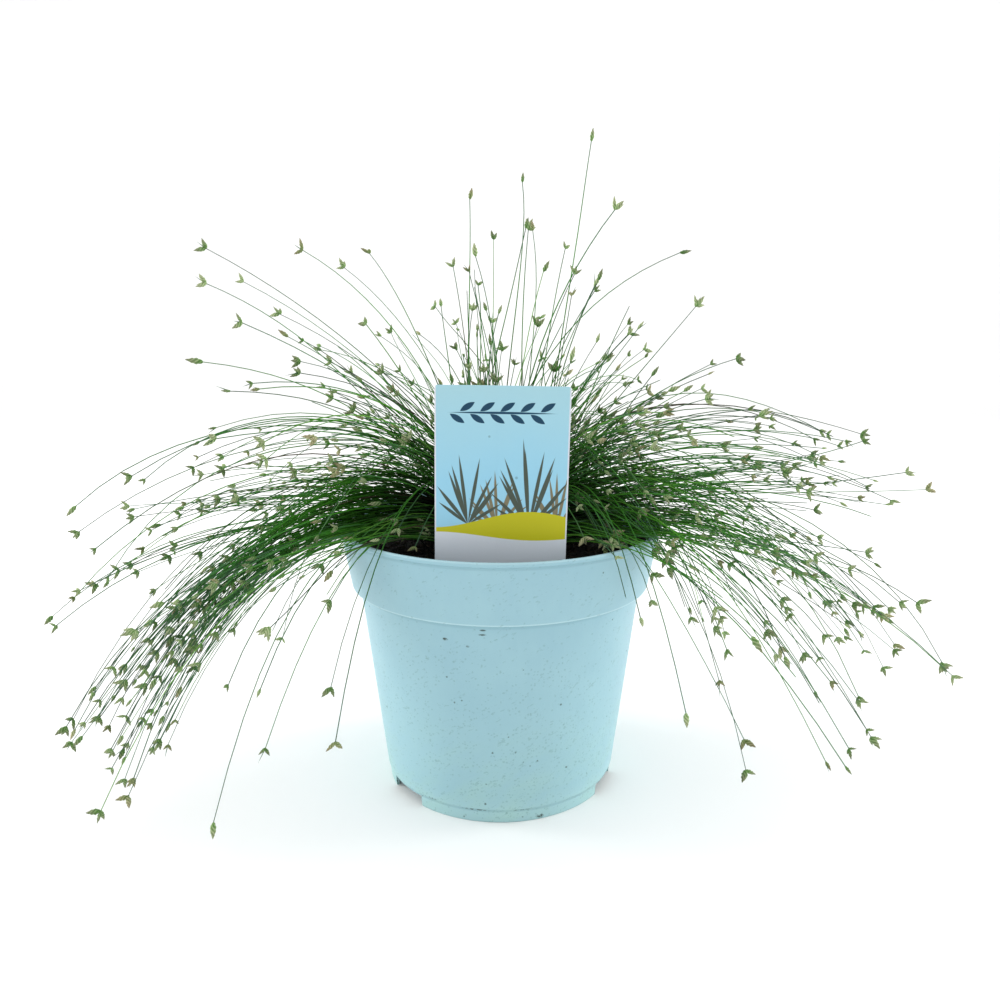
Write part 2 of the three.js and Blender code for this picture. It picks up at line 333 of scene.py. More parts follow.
# How far a full cluster lowers that level, and how soft the edge of a scuff is
SCUFF_REACH = 0.07
SCUFF_BLUR = 0.05


def make_scuffs():
    """Ragged smears: the peaks of a fine noise, let through where a broad noise is high."""
    inputs = [
        ("Position", VECTOR, None),
        ("Size", FLOAT, 2.1),
        ("Cluster Size", FLOAT, 18.0),
        ("Amount", FLOAT, 0.5),
    ]
    group, read, feed = new_group("scuffs", inputs, [("Mask", FLOAT), ("Clusters", FLOAT)])
    peaks = noise_value(group, read["Position"], read["Size"], roughness=0.65)
    broad = noise_value(group, read["Position"], read["Cluster Size"], roughness=0.65)
    clusters = fit_range(group, broad, *CLUSTER_LEVELS)
    reach = calc(group, "MULTIPLY", calc(group, "MULTIPLY", clusters, read["Amount"]), SCUFF_REACH)
    level = calc(group, "SUBTRACT", SCUFF_LEVEL, reach)
    group.links.new(fit_range(group, peaks, level, calc(group, "ADD", level, SCUFF_BLUR)), feed["Mask"])
    group.links.new(clusters, feed["Clusters"])
    return group


SCUFFS = make_scuffs()
print("group:", SCUFFS.name)

# %% Smudge
# A smudge fades out beyond this share of its size. The noise that breaks it up has crumbs of this many mm
SMUDGE_CORE = 0.4
SMUDGE_CRUMB = 1.1
# The smudge shows where that noise is above a level, which rises by the second number when it is all broken
SMUDGE_LEVEL = 0.35
BREAK_REACH = 0.3
SMUDGE_BLUR = 0.1


def long_side(tree, first, second):
    """The length of the long side of a right-angled triangle with these two short sides."""
    squares = [calc(tree, "POWER", side, 2.0) for side in (first, second)]
    return calc(tree, "SQRT", calc(tree, "ADD", *squares))


def make_smudge():
    """A patch around one place, broken up by noise, with its own width and height."""
    inputs = [
        ("Position", VECTOR, None),
        ("Place", VECTOR, None),
        ("Width", FLOAT, 0.01),
        ("Height", FLOAT, 0.01),
        ("Break", FLOAT, 0.5),
    ]
    group, read, feed = new_group("smudge", inputs, [("Mask", FLOAT)])
    offset = move_point(group, read["Position"], read["Place"], "SUBTRACT")
    part = put(group, "ShaderNodeSeparateXYZ", {"Vector": offset}).outputs
    across = calc(group, "DIVIDE", long_side(group, part["X"], part["Y"]), read["Width"])
    upright = calc(group, "DIVIDE", part["Z"], read["Height"])
    patch = fit_range(group, long_side(group, across, upright), SMUDGE_CORE, 1.0, 1.0, 0.0, smooth=True)
    crumbs = noise_value(group, read["Position"], SMUDGE_CRUMB, detail=4.0, roughness=0.7)
    low = calc(group, "ADD", SMUDGE_LEVEL, calc(group, "MULTIPLY", read["Break"], BREAK_REACH))
    broken = fit_range(group, crumbs, low, calc(group, "ADD", low, SMUDGE_BLUR))
    group.links.new(calc(group, "MULTIPLY", patch, broken), feed["Mask"])
    return group


SMUDGE = make_smudge()
print("group:", SMUDGE.name)

# %% Living tint
# Shares of a stem's length over which the root colour gives way to the middle one, and that to the tip's
ROOT_ZONE = (0.2, 0.62)
TIP_ZONE = (0.5, 0.9)
# High tones turn a stem pale and low ones darken it, at random, and so they also paint light and shade on the
# stems
PALE_TONES = (0.45, 1.0)
DIM_TONES = (0.0, 0.4)
# The most that the pale colour covers, the shade of the dimmest stem, and the shades of its streaks
MOST_PALE = 0.75
DIMMEST = 0.5
STREAK_SHADES = (0.82, 1.12)
# Streaks start as lumps of so many mm, and are squeezed level and drawn out upright by these factors
STREAK_SIZE = 1.2
STREAK_STRETCH = (3.0, 0.6)


def make_living_tint():
    """The colour of something that grew: it runs from a root colour to a tip colour, in its own tone, which
    also paints light and shade.
    """
    inputs = [
        ("Root Colour", COLOUR, None),
        ("Middle Colour", COLOUR, None),
        ("Tip Colour", COLOUR, None),
        ("Pale Colour", COLOUR, None),
        ("Position", VECTOR, None),
    ]
    group, read, feed = new_group("living_tint", inputs, [("Colour", COLOUR), ("Streaks", FLOAT)])
    along = put(group, "ShaderNodeAttribute", attribute_name="along").outputs["Fac"]
    tone = put(group, "ShaderNodeAttribute", attribute_name="tone").outputs["Fac"]
    grown = fit_range(group, along, *ROOT_ZONE)
    lower = blend_colours(group, grown, read["Root Colour"], read["Middle Colour"])
    whole = blend_colours(group, fit_range(group, along, *TIP_ZONE), lower, read["Tip Colour"])
    paler = fit_range(group, tone, *PALE_TONES, 0.0, MOST_PALE)
    varied = blend_colours(group, paler, whole, read["Pale Colour"])
    drawn_out = stretched(group, read["Position"], *STREAK_STRETCH)
    streaks = noise_value(group, drawn_out, STREAK_SIZE, detail=2.0)
    streaky = fit_range(group, streaks, *NOISE_SPAN, *STREAK_SHADES)
    shade = calc(group, "MULTIPLY", streaky, fit_range(group, tone, *DIM_TONES, DIMMEST, 1.0))
    group.links.new(scaled(group, varied, shade), feed["Colour"])
    group.links.new(streaks, feed["Streaks"])
    return group


LIVING_TINT = make_living_tint()
print("group:", LIVING_TINT.name)

# %% [markdown]
# ## The pot
# A nursery pot is moulded from one thin sheet: a wide collar that fingers can grip, a lip that stiffens its
# edge, a tapered body, and a foot ring with gaps for the water. All of it is round, so it is a profile
# turned about the Z axis. The corners of the profile are rounded first, because moulded plastic has no
# knife edges. The gaps in the foot and the drain holes are cut by Boolean modifiers, as a saw and a drill
# would. The plastic is a little cloudy from its mould, and it has caught soil and water, most of all near
# the foot.
# Its edges carry painted highlights, and the shade under its collar, its lip and the edge of its body is
# painted on as dark bands.

# %% Pot sizes
_, pot_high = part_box("pot")
RIM_RADIUS = pot_high.x
POT_HEIGHT = pot_high.z
WALL = 1.2 * MM
LIP_HEIGHT = 2.0 * MM
LIP_OVERHANG = 1.0 * MM
LIP_FOOT = POT_HEIGHT - LIP_HEIGHT
COLLAR_FOOT = POT_HEIGHT - 26.2 * MM
COLLAR_FOOT_RADIUS = 64.7 * MM
BODY_TOP_RADIUS = 61.4 * MM
BODY_FOOT_RADIUS = 51.3 * MM
FOOT_RADIUS = 50.2 * MM
FOOT_HEIGHT = 5.6 * MM
FLOOR_TOP = FOOT_HEIGHT + WALL
PAD_RADIUS = 20.0 * MM
PAD_SLOPE = 3.0 * MM
FOOT_SLOPE = 0.4 * MM
FOOT_STEP = 0.8 * MM
LIP_SLOPE = 0.3 * MM
POT_SIDES = 192
NOTCH_AZIMUTHS = (-53, 67, 187)
NOTCH_SIZE = (21.0 * MM, 14.0 * MM, 10.0 * MM)
DRAIN_HOLES = 6
DRAIN_RADIUS = 3.6 * MM
DRAIN_RING = 35.0 * MM
DRAIN_TURN = 7
HOLE_SIDES = 32
CORNER_BEND = 0.6 * MM
SHARP_ANGLE = math.radians(40)
print("pot height and rim radius in mm:", round(POT_HEIGHT / MM, 1), round(RIM_RADIUS / MM, 1))

# %% Directions and bends
# A bend takes up at most this share of each line beside it
BEND_SHARE = 0.45


def outward(azimuth):
    """The level direction at an azimuth in degrees: 0 is the front and 90 the right."""
    angle = math.radians(azimuth)
    return Vector((math.sin(angle), -math.cos(angle), 0.0))


def rounded(profile, radius, steps=3):
    """The profile with each inner corner replaced by a small bend."""
    smooth = [Vector(profile[0])]
    for before, corner, after in zip(profile, profile[1:], profile[2:]):
        before, corner, after = Vector(before), Vector(corner), Vector(after)
        back = before - corner
        ahead = after - corner
        reach = min(radius, BEND_SHARE * back.length, BEND_SHARE * ahead.length)
        start = corner + back.normalized() * reach
        end = corner + ahead.normalized() * reach
        for step in range(steps + 1):
            share = step / steps
            smooth.append(start.lerp(corner, share).lerp(corner.lerp(end, share), share))
    smooth.append(Vector(profile[-1]))
    return smooth


print("the right is", [round(side) for side in outward(90)])

# %% Turned mesh
# A point that is nearer to the axis than this lies on it
ON_AXIS = 1e-6


def turned_mesh(name, profile, sides):
    """A closed profile of (radius, height) turned about Z. Points on the axis become one vertex each."""
    corners = []
    rings = []
    for radius, height in profile:
        if radius < ON_AXIS:
            rings.append([len(corners)] * sides)
            corners.append((0.0, 0.0, height))
            continue
        rings.append(list(range(len(corners), len(corners) + sides)))
        for side in range(sides):
            angle = 2 * math.pi * side / sides
            corners.append((radius * math.cos(angle), radius * math.sin(angle), height))
    faces = []
    for low, high in zip(rings, rings[1:]):
        for side in range(sides):
            other = (side + 1) % sides
            ring = [low[side], low[other], high[other], high[side]]
            faces.append(list(dict.fromkeys(ring)))
    mesh = bpy.data.meshes.new(name)
    mesh.from_pydata(corners, [], faces)
    return mesh


print("turned mesh ready")

# %% Pieces and cuts
def place_piece(name, mesh, nodes, materials):
    """Makes a mesh a piece of the plant: it rides on the body, stands for solids and takes finishes."""
    piece = bpy.data.objects.new(name, mesh)
    scene.collection.objects.link(piece)
    for material in materials:
        piece.data.materials.append(material)
    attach(piece, ROOT)
    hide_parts(*nodes)
    return piece


def cut_away(piece, cutters):
    """Cuts the cutters out of the piece with Boolean modifiers and keeps only the result."""
    for cutter in cutters:
        modifier = piece.modifiers.new("cut", "BOOLEAN")
        modifier.operation = "DIFFERENCE"
        modifier.solver = "EXACT"
        modifier.object = cutter
    bpy.context.view_layer.update()
    graph = bpy.context.evaluated_depsgraph_get()
    result = bpy.data.meshes.new_from_object(piece.evaluated_get(graph))
    piece.modifiers.clear()
    piece.data = result
    for cutter in cutters:
        bpy.data.objects.remove(cutter)


print("piece helpers ready")

# %% Pot colours and marks
POT_BLUE = colour(0.270, 0.475, 0.560)
POT_BLUE_PALE = colour(0.315, 0.530, 0.595)
POT_LOW = colour(0.290, 0.500, 0.545)
POT_FOOT = colour(0.345, 0.560, 0.585)
# The pale edge colour is a painted highlight, and the groove colour is painted shade with some dirt in it
POT_EDGE_HIGHLIGHT = colour(0.620, 0.830, 0.860)
POT_GROOVE_SHADE_AND_DIRT = colour(0.190, 0.360, 0.420)
POT_MOSS = colour(0.350, 0.570, 0.500)
SOIL_STAIN = colour(0.050, 0.078, 0.068)
GREEN_STAIN = colour(0.135, 0.265, 0.260)
# Each band around the pot: its height, half its width in mm, its strength and its colour
# The pale bands paint highlights on the collar's foot and the lip's top, and the dark ones paint shade under
# the collar, under the lip and over the foot ring, with some dirt
PAINTED_LIGHT_BANDS = [
    (COLLAR_FOOT + 0.2 * MM, 0.7, 0.4, POT_EDGE_HIGHLIGHT),
    (POT_HEIGHT, 0.7, 0.25, POT_EDGE_HIGHLIGHT),
    (COLLAR_FOOT - 1.6 * MM, 1.0, 0.3, POT_GROOVE_SHADE_AND_DIRT),
    (LIP_FOOT - 0.5 * MM, 1.0, 0.4, POT_GROOVE_SHADE_AND_DIRT),
    (FOOT_HEIGHT, 1.0, 0.4, POT_GROOVE_SHADE_AND_DIRT),
]
# Fine and coarse specks: their amount grows towards the foot by the first number, from the second
POT_SPECKS = [
    {"spacing": 1.2, "size": 0.36, "amount": (0.6, 0.05), "strength": 0.33, "paint": GREEN_STAIN},
    {"spacing": 3.0, "size": 0.17, "amount": (0.1, 0.012), "strength": 0.7, "paint": SOIL_STAIN},
]
# Each mark: azimuth in degrees and height in mm on the wall, half its width and half its height in mm, how
# broken up it is, and its strength
POT_MARKS = [
    {"azimuth": -20.4, "height": 82.3, "half": (1.5, 0.8), "broken": 0.05, "strength": 1.0},
    {"azimuth": -6.1, "height": 87.3, "half": (1.6, 0.5), "broken": 0.1, "strength": 0.9},
    {"azimuth": -6.3, "height": 85.4, "half": (1.9, 0.5), "broken": 0.1, "strength": 0.9},
    {"azimuth": -11.8, "height": 80.2, "half": (0.9, 0.6), "broken": 0.2, "strength": 0.7},
    {"azimuth": -18.5, "height": 76.5, "half": (2.6, 1.6), "broken": 0.8, "strength": 0.5},
    {"azimuth": -34.8, "height": 6.5, "half": (7.0, 0.7), "broken": 0.5, "strength": 0.8},
    {"azimuth": -11.5, "height": 5.9, "half": (7.5, 0.6), "broken": 0.2, "strength": 0.8},
    {"azimuth": 9.5, "height": 5.9, "half": (6.5, 0.5), "broken": 0.4, "strength": 0.6},
    {"azimuth": 35.0, "height": 6.2, "half": (5.0, 0.7), "broken": 0.6, "strength": 0.5},
    {"azimuth": 19.1, "height": 1.6, "half": (2.4, 1.2), "broken": 0.3, "strength": 0.9},
    {"azimuth": -63.4, "height": 2.3, "half": (3.0, 3.4), "broken": 0.35, "strength": 0.9},
    {"azimuth": 127.0, "height": 5.8, "half": (8.0, 0.6), "broken": 0.4, "strength": 0.7},
    {"azimuth": 171.0, "height": 84.0, "half": (1.6, 0.7), "broken": 0.2, "strength": 0.7},
    {"azimuth": -118.0, "height": 3.0, "half": (3.2, 2.0), "broken": 0.4, "strength": 0.8},
]
print("pot marks:", len(POT_MARKS))

# %% Places and bands on the pot
# The share of a band's width that has its full strength
BAND_CORE = 0.4


def wall_radius(height):
    """The outer radius of the pot's body or foot at a height."""
    if height < FOOT_HEIGHT:
        return FOOT_RADIUS
    share = (height - FOOT_HEIGHT) / (COLLAR_FOOT - FOOT_HEIGHT)
    return BODY_FOOT_RADIUS + share * (BODY_TOP_RADIUS - BODY_FOOT_RADIUS)


def uneven(tree, where, size_mm, depth_mm):
    """The position pushed about by noise, so that round specks come out ragged."""
    values = {"Vector": where, "Scale": PER_MM / size_mm, "Detail": 2.0}
    push = put(tree, "ShaderNodeTexNoise", values).outputs["Color"]
    centred = move_point(tree, push, (0.5, 0.5, 0.5), "SUBTRACT")
    return move_point(tree, where, scaled(tree, centred, depth_mm * MM))


def level_band(tree, height, middle, half_mm):
    """A mask that is 1 at one height of the pot and fades out above and below it."""
    away = calc(tree, "ABSOLUTE", calc(tree, "SUBTRACT", height, middle))
    return fit_range(tree, away, BAND_CORE * half_mm * MM, half_mm * MM, 1.0, 0.0)


def two_parts(tree, first, second, share):
    """Two values added, the first one by its share and the second by the rest."""
    return calc(tree, "MULTIPLY_ADD", first, share, calc(tree, "MULTIPLY", second, 1 - share))


print("outer radius half way up the pot, in mm:", round(wall_radius(POT_HEIGHT / 2) / MM, 1))

# %% Pot tint and dirt
# Heights between which the lower wall, the foot, the dirt and the moss come in, and how strong they get
LOW_ZONE = (90.0 * MM, 15.0 * MM)
FOOT_ZONE = (13.0 * MM, 4.0 * MM)
DIRT_ZONE = (95.0 * MM, 15.0 * MM)
MOSS_ZONE = (50.0 * MM, 8.0 * MM)
LOW_STRENGTH = 0.6
FOOT_STRENGTH = 0.8
MOSS_STRENGTH = 0.4
# Scuffs slant by this angle, and are drawn out level and squeezed upright by these factors
SCUFF_SLANT = math.radians(32)
SCUFF_STRETCH = (0.7, 1.6)
SCUFF_STRENGTH = 0.3
# The amount of scuffs grows towards the foot by the first number, from the second. Specks get denser in the
# same way where scuffs cluster
SCUFF_GROWTH = (0.55, 0.45)
SPECK_CROWDING = (1.6, 0.4)
# Specks are made ragged by noise: the size of its lumps and how strongly it pushes, both in mm
RAGGED_EDGES = (0.8, 0.7)


def tint_with_painted_edges(tree, height, patchy):
    """The plastic's colour: lighter low down, with painted highlights on its edges and painted shade in its
    grooves, where some dirt lies too.
    """
    tint = blend_colours(tree, patchy, POT_BLUE, POT_BLUE_PALE)
    for zone, strength, paint in ((LOW_ZONE, LOW_STRENGTH, POT_LOW), (FOOT_ZONE, FOOT_STRENGTH, POT_FOOT)):
        tint = blend_colours(tree, fit_range(tree, height, *zone, 0.0, strength), tint, paint)
    for level, half_mm, strength, paint in PAINTED_LIGHT_BANDS:
        band = calc(tree, "MULTIPLY", level_band(tree, height, level, half_mm), strength)
        tint = blend_colours(tree, band, tint, paint)
    return tint


def add_dirt(tree, where, height, tint):
    """Moss, scuffs and specks that thicken towards the foot. Returns the new tint and the coarse specks."""
    low_down = fit_range(tree, height, *DIRT_ZONE)
    turn = {"Vector": where, "Axis": (0.0, 1.0, 0.0), "Angle": SCUFF_SLANT}
    slanting = put(tree, "ShaderNodeVectorRotate", turn).outputs["Vector"]
    values = {
        "Position": stretched(tree, slanting, *SCUFF_STRETCH),
        "Amount": calc(tree, "MULTIPLY_ADD", low_down, *SCUFF_GROWTH),
    }
    scuffs = use_group(tree, SCUFFS, values)
    damp = fit_range(tree, height, *MOSS_ZONE, 0.0, MOSS_STRENGTH)
    tint = blend_colours(tree, calc(tree, "MULTIPLY", scuffs["Clusters"], damp), tint, POT_MOSS)
    tint = blend_colours(tree, calc(tree, "MULTIPLY", scuffs["Mask"], SCUFF_STRENGTH), tint, GREEN_STAIN)
    ragged = uneven(tree, where, *RAGGED_EDGES)
    crowding = calc(tree, "MULTIPLY_ADD", scuffs["Clusters"], *SPECK_CROWDING)
    for specks in POT_SPECKS:
        amount = calc(tree, "MULTIPLY_ADD", low_down, *specks["amount"])
        values = {
            "Position": ragged,
            "Spacing": specks["spacing"],
            "Amount": calc(tree, "MULTIPLY", amount, crowding),
            "Size": specks["size"],
        }
        mask = use_group(tree, SPECKS, values)["Mask"]
        tint = blend_colours(tree, calc(tree, "MULTIPLY", mask, specks["strength"]), tint, specks["paint"])
    return tint, mask


print("bands and kinds of specks on the pot:", len(PAINTED_LIGHT_BANDS), len(POT_SPECKS))

# %% Pot finish
# Flow marks of the melted plastic: how wide they are in mm, and the factors that draw them out upright
FLOW_WIDTH = 2.5
FLOW_STRETCH = (1.0, 0.08)
# The share of broad patches in the colour, and of grain in the relief. Flow marks make up the rest
PATCH_SHARE = 0.6
GRAIN_SHARE = 0.5
# How rough the plastic is, how much rougher a stain is, and how deep the plastic's texture is, in mm
POT_ROUGHNESS = (0.40, 0.52)
STAIN_ROUGHNESS = 0.35
POT_TEXTURE = 0.05


def finish_pot():
    """Satin blue plastic: mottled, paler on its moulded edges, with stains from soil and water."""
    material, tree, shader = new_material("pot_plastic")
    where = position_of(tree)
    height = put(tree, "ShaderNodeSeparateXYZ", {"Vector": where}).outputs["Z"]
    mottle = use_group(tree, MOTTLE, {"Position": where, "Broad Size": 24.0, "Fine Size": 0.9})
    flow = noise_value(tree, stretched(tree, where, *FLOW_STRETCH), FLOW_WIDTH, detail=2.0)
    tint = tint_with_painted_edges(tree, height, two_parts(tree, mottle["Patches"], flow, PATCH_SHARE))
    tint, stained = add_dirt(tree, where, height, tint)
    for mark in POT_MARKS:
        place = outward(mark["azimuth"]) * wall_radius(mark["height"] * MM)
        place.z = mark["height"] * MM
        values = {
            "Position": where,
            "Place": place,
            "Width": mark["half"][0] * MM,
            "Height": mark["half"][1] * MM,
            "Break": mark["broken"],
        }
        mask = calc(tree, "MULTIPLY", use_group(tree, SMUDGE, values)["Mask"], mark["strength"])
        tint = blend_colours(tree, mask, tint, SOIL_STAIN)
        stained = calc(tree, "MAXIMUM", stained, mask)
    tree.links.new(tint, shader["Base Color"])
    rough = fit_range(tree, mottle["Grain"], 0.0, 1.0, *POT_ROUGHNESS)
    tree.links.new(calc(tree, "MULTIPLY_ADD", stained, STAIN_ROUGHNESS, rough), shader["Roughness"])
    relief = two_parts(tree, mottle["Grain"], flow, GRAIN_SHARE)
    raise_surface(tree, shader, calc(tree, "ADD", relief, stained), POT_TEXTURE)
    return material


pot_finish = finish_pot()
print("pot finish:", pot_finish.name)

# %% Pot shape
def pot_profile():
    """The pot's section: up the outside from the middle of its underside, over the lip and down inside."""
    return [
        (0.0, 0.0),
        (PAD_RADIUS, 0.0),
        (PAD_RADIUS + PAD_SLOPE, FOOT_HEIGHT),
        (FOOT_RADIUS - WALL - FOOT_SLOPE, FOOT_HEIGHT),
        (FOOT_RADIUS - WALL, 0.0),
        (FOOT_RADIUS, 0.0),
        (FOOT_RADIUS + FOOT_SLOPE, FOOT_HEIGHT - FOOT_SLOPE),
        (BODY_FOOT_RADIUS, FOOT_HEIGHT + FOOT_STEP),
        (BODY_TOP_RADIUS, COLLAR_FOOT),
        (COLLAR_FOOT_RADIUS, COLLAR_FOOT),
        (RIM_RADIUS - LIP_OVERHANG, LIP_FOOT),
        (RIM_RADIUS, LIP_FOOT + LIP_SLOPE),
        (RIM_RADIUS, POT_HEIGHT),
        (RIM_RADIUS - LIP_OVERHANG - WALL / 2, POT_HEIGHT),
        (RIM_RADIUS - LIP_OVERHANG - WALL, LIP_FOOT),
        (COLLAR_FOOT_RADIUS - WALL, COLLAR_FOOT + WALL),
        (BODY_TOP_RADIUS - WALL, COLLAR_FOOT - WALL / 2),
        (BODY_FOOT_RADIUS - WALL, FLOOR_TOP),
        (PAD_RADIUS + PAD_SLOPE - WALL / 2, FLOOR_TOP),
        (PAD_RADIUS - WALL / 2, WALL),
        (0.0, WALL),
    ]


def pot_cutters():
    """Boxes for the gaps in the foot ring, and cylinders for the drain holes in the floor."""
    cutters = []
    for azimuth in NOTCH_AZIMUTHS:
        bpy.ops.mesh.primitive_cube_add(size=1.0)
        cutter = bpy.context.object
        cutter.scale = NOTCH_SIZE
        cutter.rotation_euler.z = math.radians(azimuth)
        cutter.location = outward(azimuth) * FOOT_RADIUS
        cutters.append(cutter)
    for hole in range(DRAIN_HOLES):
        bpy.ops.mesh.primitive_cylinder_add(vertices=HOLE_SIDES, radius=DRAIN_RADIUS, depth=4 * WALL)
        cutter = bpy.context.object
        cutter.location = outward(360 * hole / DRAIN_HOLES + DRAIN_TURN) * DRAIN_RING
        cutter.location.z = FLOOR_TOP
        cutters.append(cutter)
    return cutters


def make_pot():
    """The turned pot with its gaps and holes, smooth all over but for its sharp edges."""
    mesh = turned_mesh("pot_shell", rounded(pot_profile(), CORNER_BEND), POT_SIDES)
    pot = place_piece("pot_shell", mesh, ["pot"], [pot_finish])
    cut_away(pot, pot_cutters())
    pot.data.shade_smooth()
    pot.data.set_sharp_from_angle(angle=SHARP_ANGLE)
    return pot


pot = make_pot()
print("pot faces:", len(pot.data.polygons))

# %% [markdown]
# ## Soil
# Potting soil is dark, damp and lumpy, with paler root fibres and bits of bark. The bed is a disc of many
# rings whose height follows noise, closed below so that it fills the pot. Crumbs and fibres lie on it as
# one joined mesh.

# %% Soil finish
# The soil is darker than damp soil: its colours take in painted shade from the clump and the rim above it
SOIL_DARK = colour(0.0020, 0.0015, 0.0010)
SOIL_BROWN = colour(0.0110, 0.0070, 0.0040)
FIBRE_PALE = colour(0.090, 0.060, 0.034)
# How rough the soil and its fibres are, and how deep their relief is, in mm
SOIL_ROUGHNESS = (0.75, 0.98)
SOIL_RELIEF = 0.7
FIBRE_ROUGHNESS = (0.7, 0.95)
FIBRE_RELIEF = 0.15
# How strongly pale bits show in the soil, and the dark grain on its fibres
BITS_STRENGTH = 0.5
GRAIN_STRENGTH = 0.5


def finish_soil():
    """Dark, damp and rough, with brown patches and pale bits. Its darkness is partly painted shade."""
    material, tree, shader = new_material("potting_soil")
    where = position_of(tree)
    mottle = use_group(tree, MOTTLE, {"Position": where, "Broad Size": 9.0, "Fine Size": 1.3})
    bits = use_group(tree, SPECKS, {"Position": where, "Spacing": 3.0, "Amount": 0.16, "Size": 0.3})
    mixed = calc(tree, "MULTIPLY", mottle["Patches"], mottle["Grain"])
    tint = blend_colours(tree, mixed, SOIL_DARK, SOIL_BROWN)
    tint = blend_colours(tree, calc(tree, "MULTIPLY", bits["Mask"], BITS_STRENGTH), tint, FIBRE_PALE)
    tree.links.new(tint, shader["Base Color"])
    tree.links.new(fit_range(tree, mottle["Patches"], 0.0, 1.0, *SOIL_ROUGHNESS), shader["Roughness"])
    raise_surface(tree, shader, mottle["Grain"], SOIL_RELIEF)
    return material


def finish_fibre():
    """Dry roots and bark bits, each in its own tone between soil brown and straw."""
    material, tree, shader = new_material("soil_fibre")
    where = position_of(tree)
    tone = put(tree, "ShaderNodeAttribute", attribute_name="tone").outputs["Fac"]
    grain = use_group(tree, MOTTLE, {"Position": where, "Broad Size": 4.0, "Fine Size": 0.5})["Grain"]
    tint = blend_colours(tree, calc(tree, "MULTIPLY", tone, tone), SOIL_BROWN, FIBRE_PALE)
    tint = blend_colours(tree, calc(tree, "MULTIPLY", grain, GRAIN_STRENGTH), tint, SOIL_DARK)
    tree.links.new(tint, shader["Base Color"])
    tree.links.new(fit_range(tree, grain, 0.0, 1.0, *FIBRE_ROUGHNESS), shader["Roughness"])
    raise_surface(tree, shader, grain, FIBRE_RELIEF)
    return material


soil_finish = finish_soil()
fibre_finish = finish_fibre()
print("soil finishes:", soil_finish.name, fibre_finish.name)

# %% Soil shape
_, soil_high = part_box("soil")
SOIL_TOP = 106.5 * MM
GAP = 0.3 * MM
SOIL_EDGE = soil_high.x
SOIL_RINGS = 56
SOIL_SIDES = 160
CROWN_RADIUS = 33.0 * MM
CROWN_RISE = 6.5 * MM
# Broad heaps, small clods and fine crumbs: how wide they are, how high in mm, and the level in the noise
SOIL_WAVES = [
    {"width": 16 * MM, "height": 1.1, "level": 0.0},
    {"width": 4.5 * MM, "height": 1.0, "level": 0.02},
    {"width": 1.8 * MM, "height": 0.4, "level": 0.05},
]


def soil_surface(x, y):
    """The height of the soil at a place."""
    rise = 0.0
    for wave in SOIL_WAVES:
        rise += wave["height"] * noise.noise(Vector((x, y, wave["level"])) / wave["width"])
    return SOIL_TOP + rise * MM


def make_soil():
    """A closed bed: its sides and underside follow the inside of the pot at a small gap."""
    wall = [
        (0.0, WALL + GAP),
        (PAD_RADIUS - WALL / 2 - GAP, WALL + GAP),
        (PAD_RADIUS + PAD_SLOPE - WALL / 2 - GAP, FLOOR_TOP + GAP),
        (BODY_FOOT_RADIUS - WALL - GAP, FLOOR_TOP + GAP),
        (BODY_TOP_RADIUS - WALL - GAP, COLLAR_FOOT - WALL / 2 + GAP),
        (COLLAR_FOOT_RADIUS - WALL - GAP, COLLAR_FOOT + WALL + GAP),
    ]
    top = [(SOIL_EDGE * (1 - ring / SOIL_RINGS), SOIL_TOP) for ring in range(SOIL_RINGS)]
    mesh = turned_mesh("soil_bed", wall + top + [(0.0, SOIL_TOP)], SOIL_SIDES)
    for corner in mesh.vertices:
        if corner.co.z > SOIL_TOP - GAP:
            corner.co.z = soil_surface(corner.co.x, corner.co.y)
    mesh.shade_smooth()
    return place_piece("soil_bed", mesh, ["soil"], [soil_finish])


soil = make_soil()
print("soil faces:", len(soil.data.polygons))

# %% [markdown]
# ## Thin strands
# Root fibres, stubs, stems and seed heads are all thin closed shapes, and there are thousands of them. An
# object for each would be slow and hard to handle, so a small class collects the corners and faces of many
# strands and makes one mesh of them. Beside its place, each corner stores two values that the finishes
# read: its tone, which differs between strands, and how far along its strand it lies.

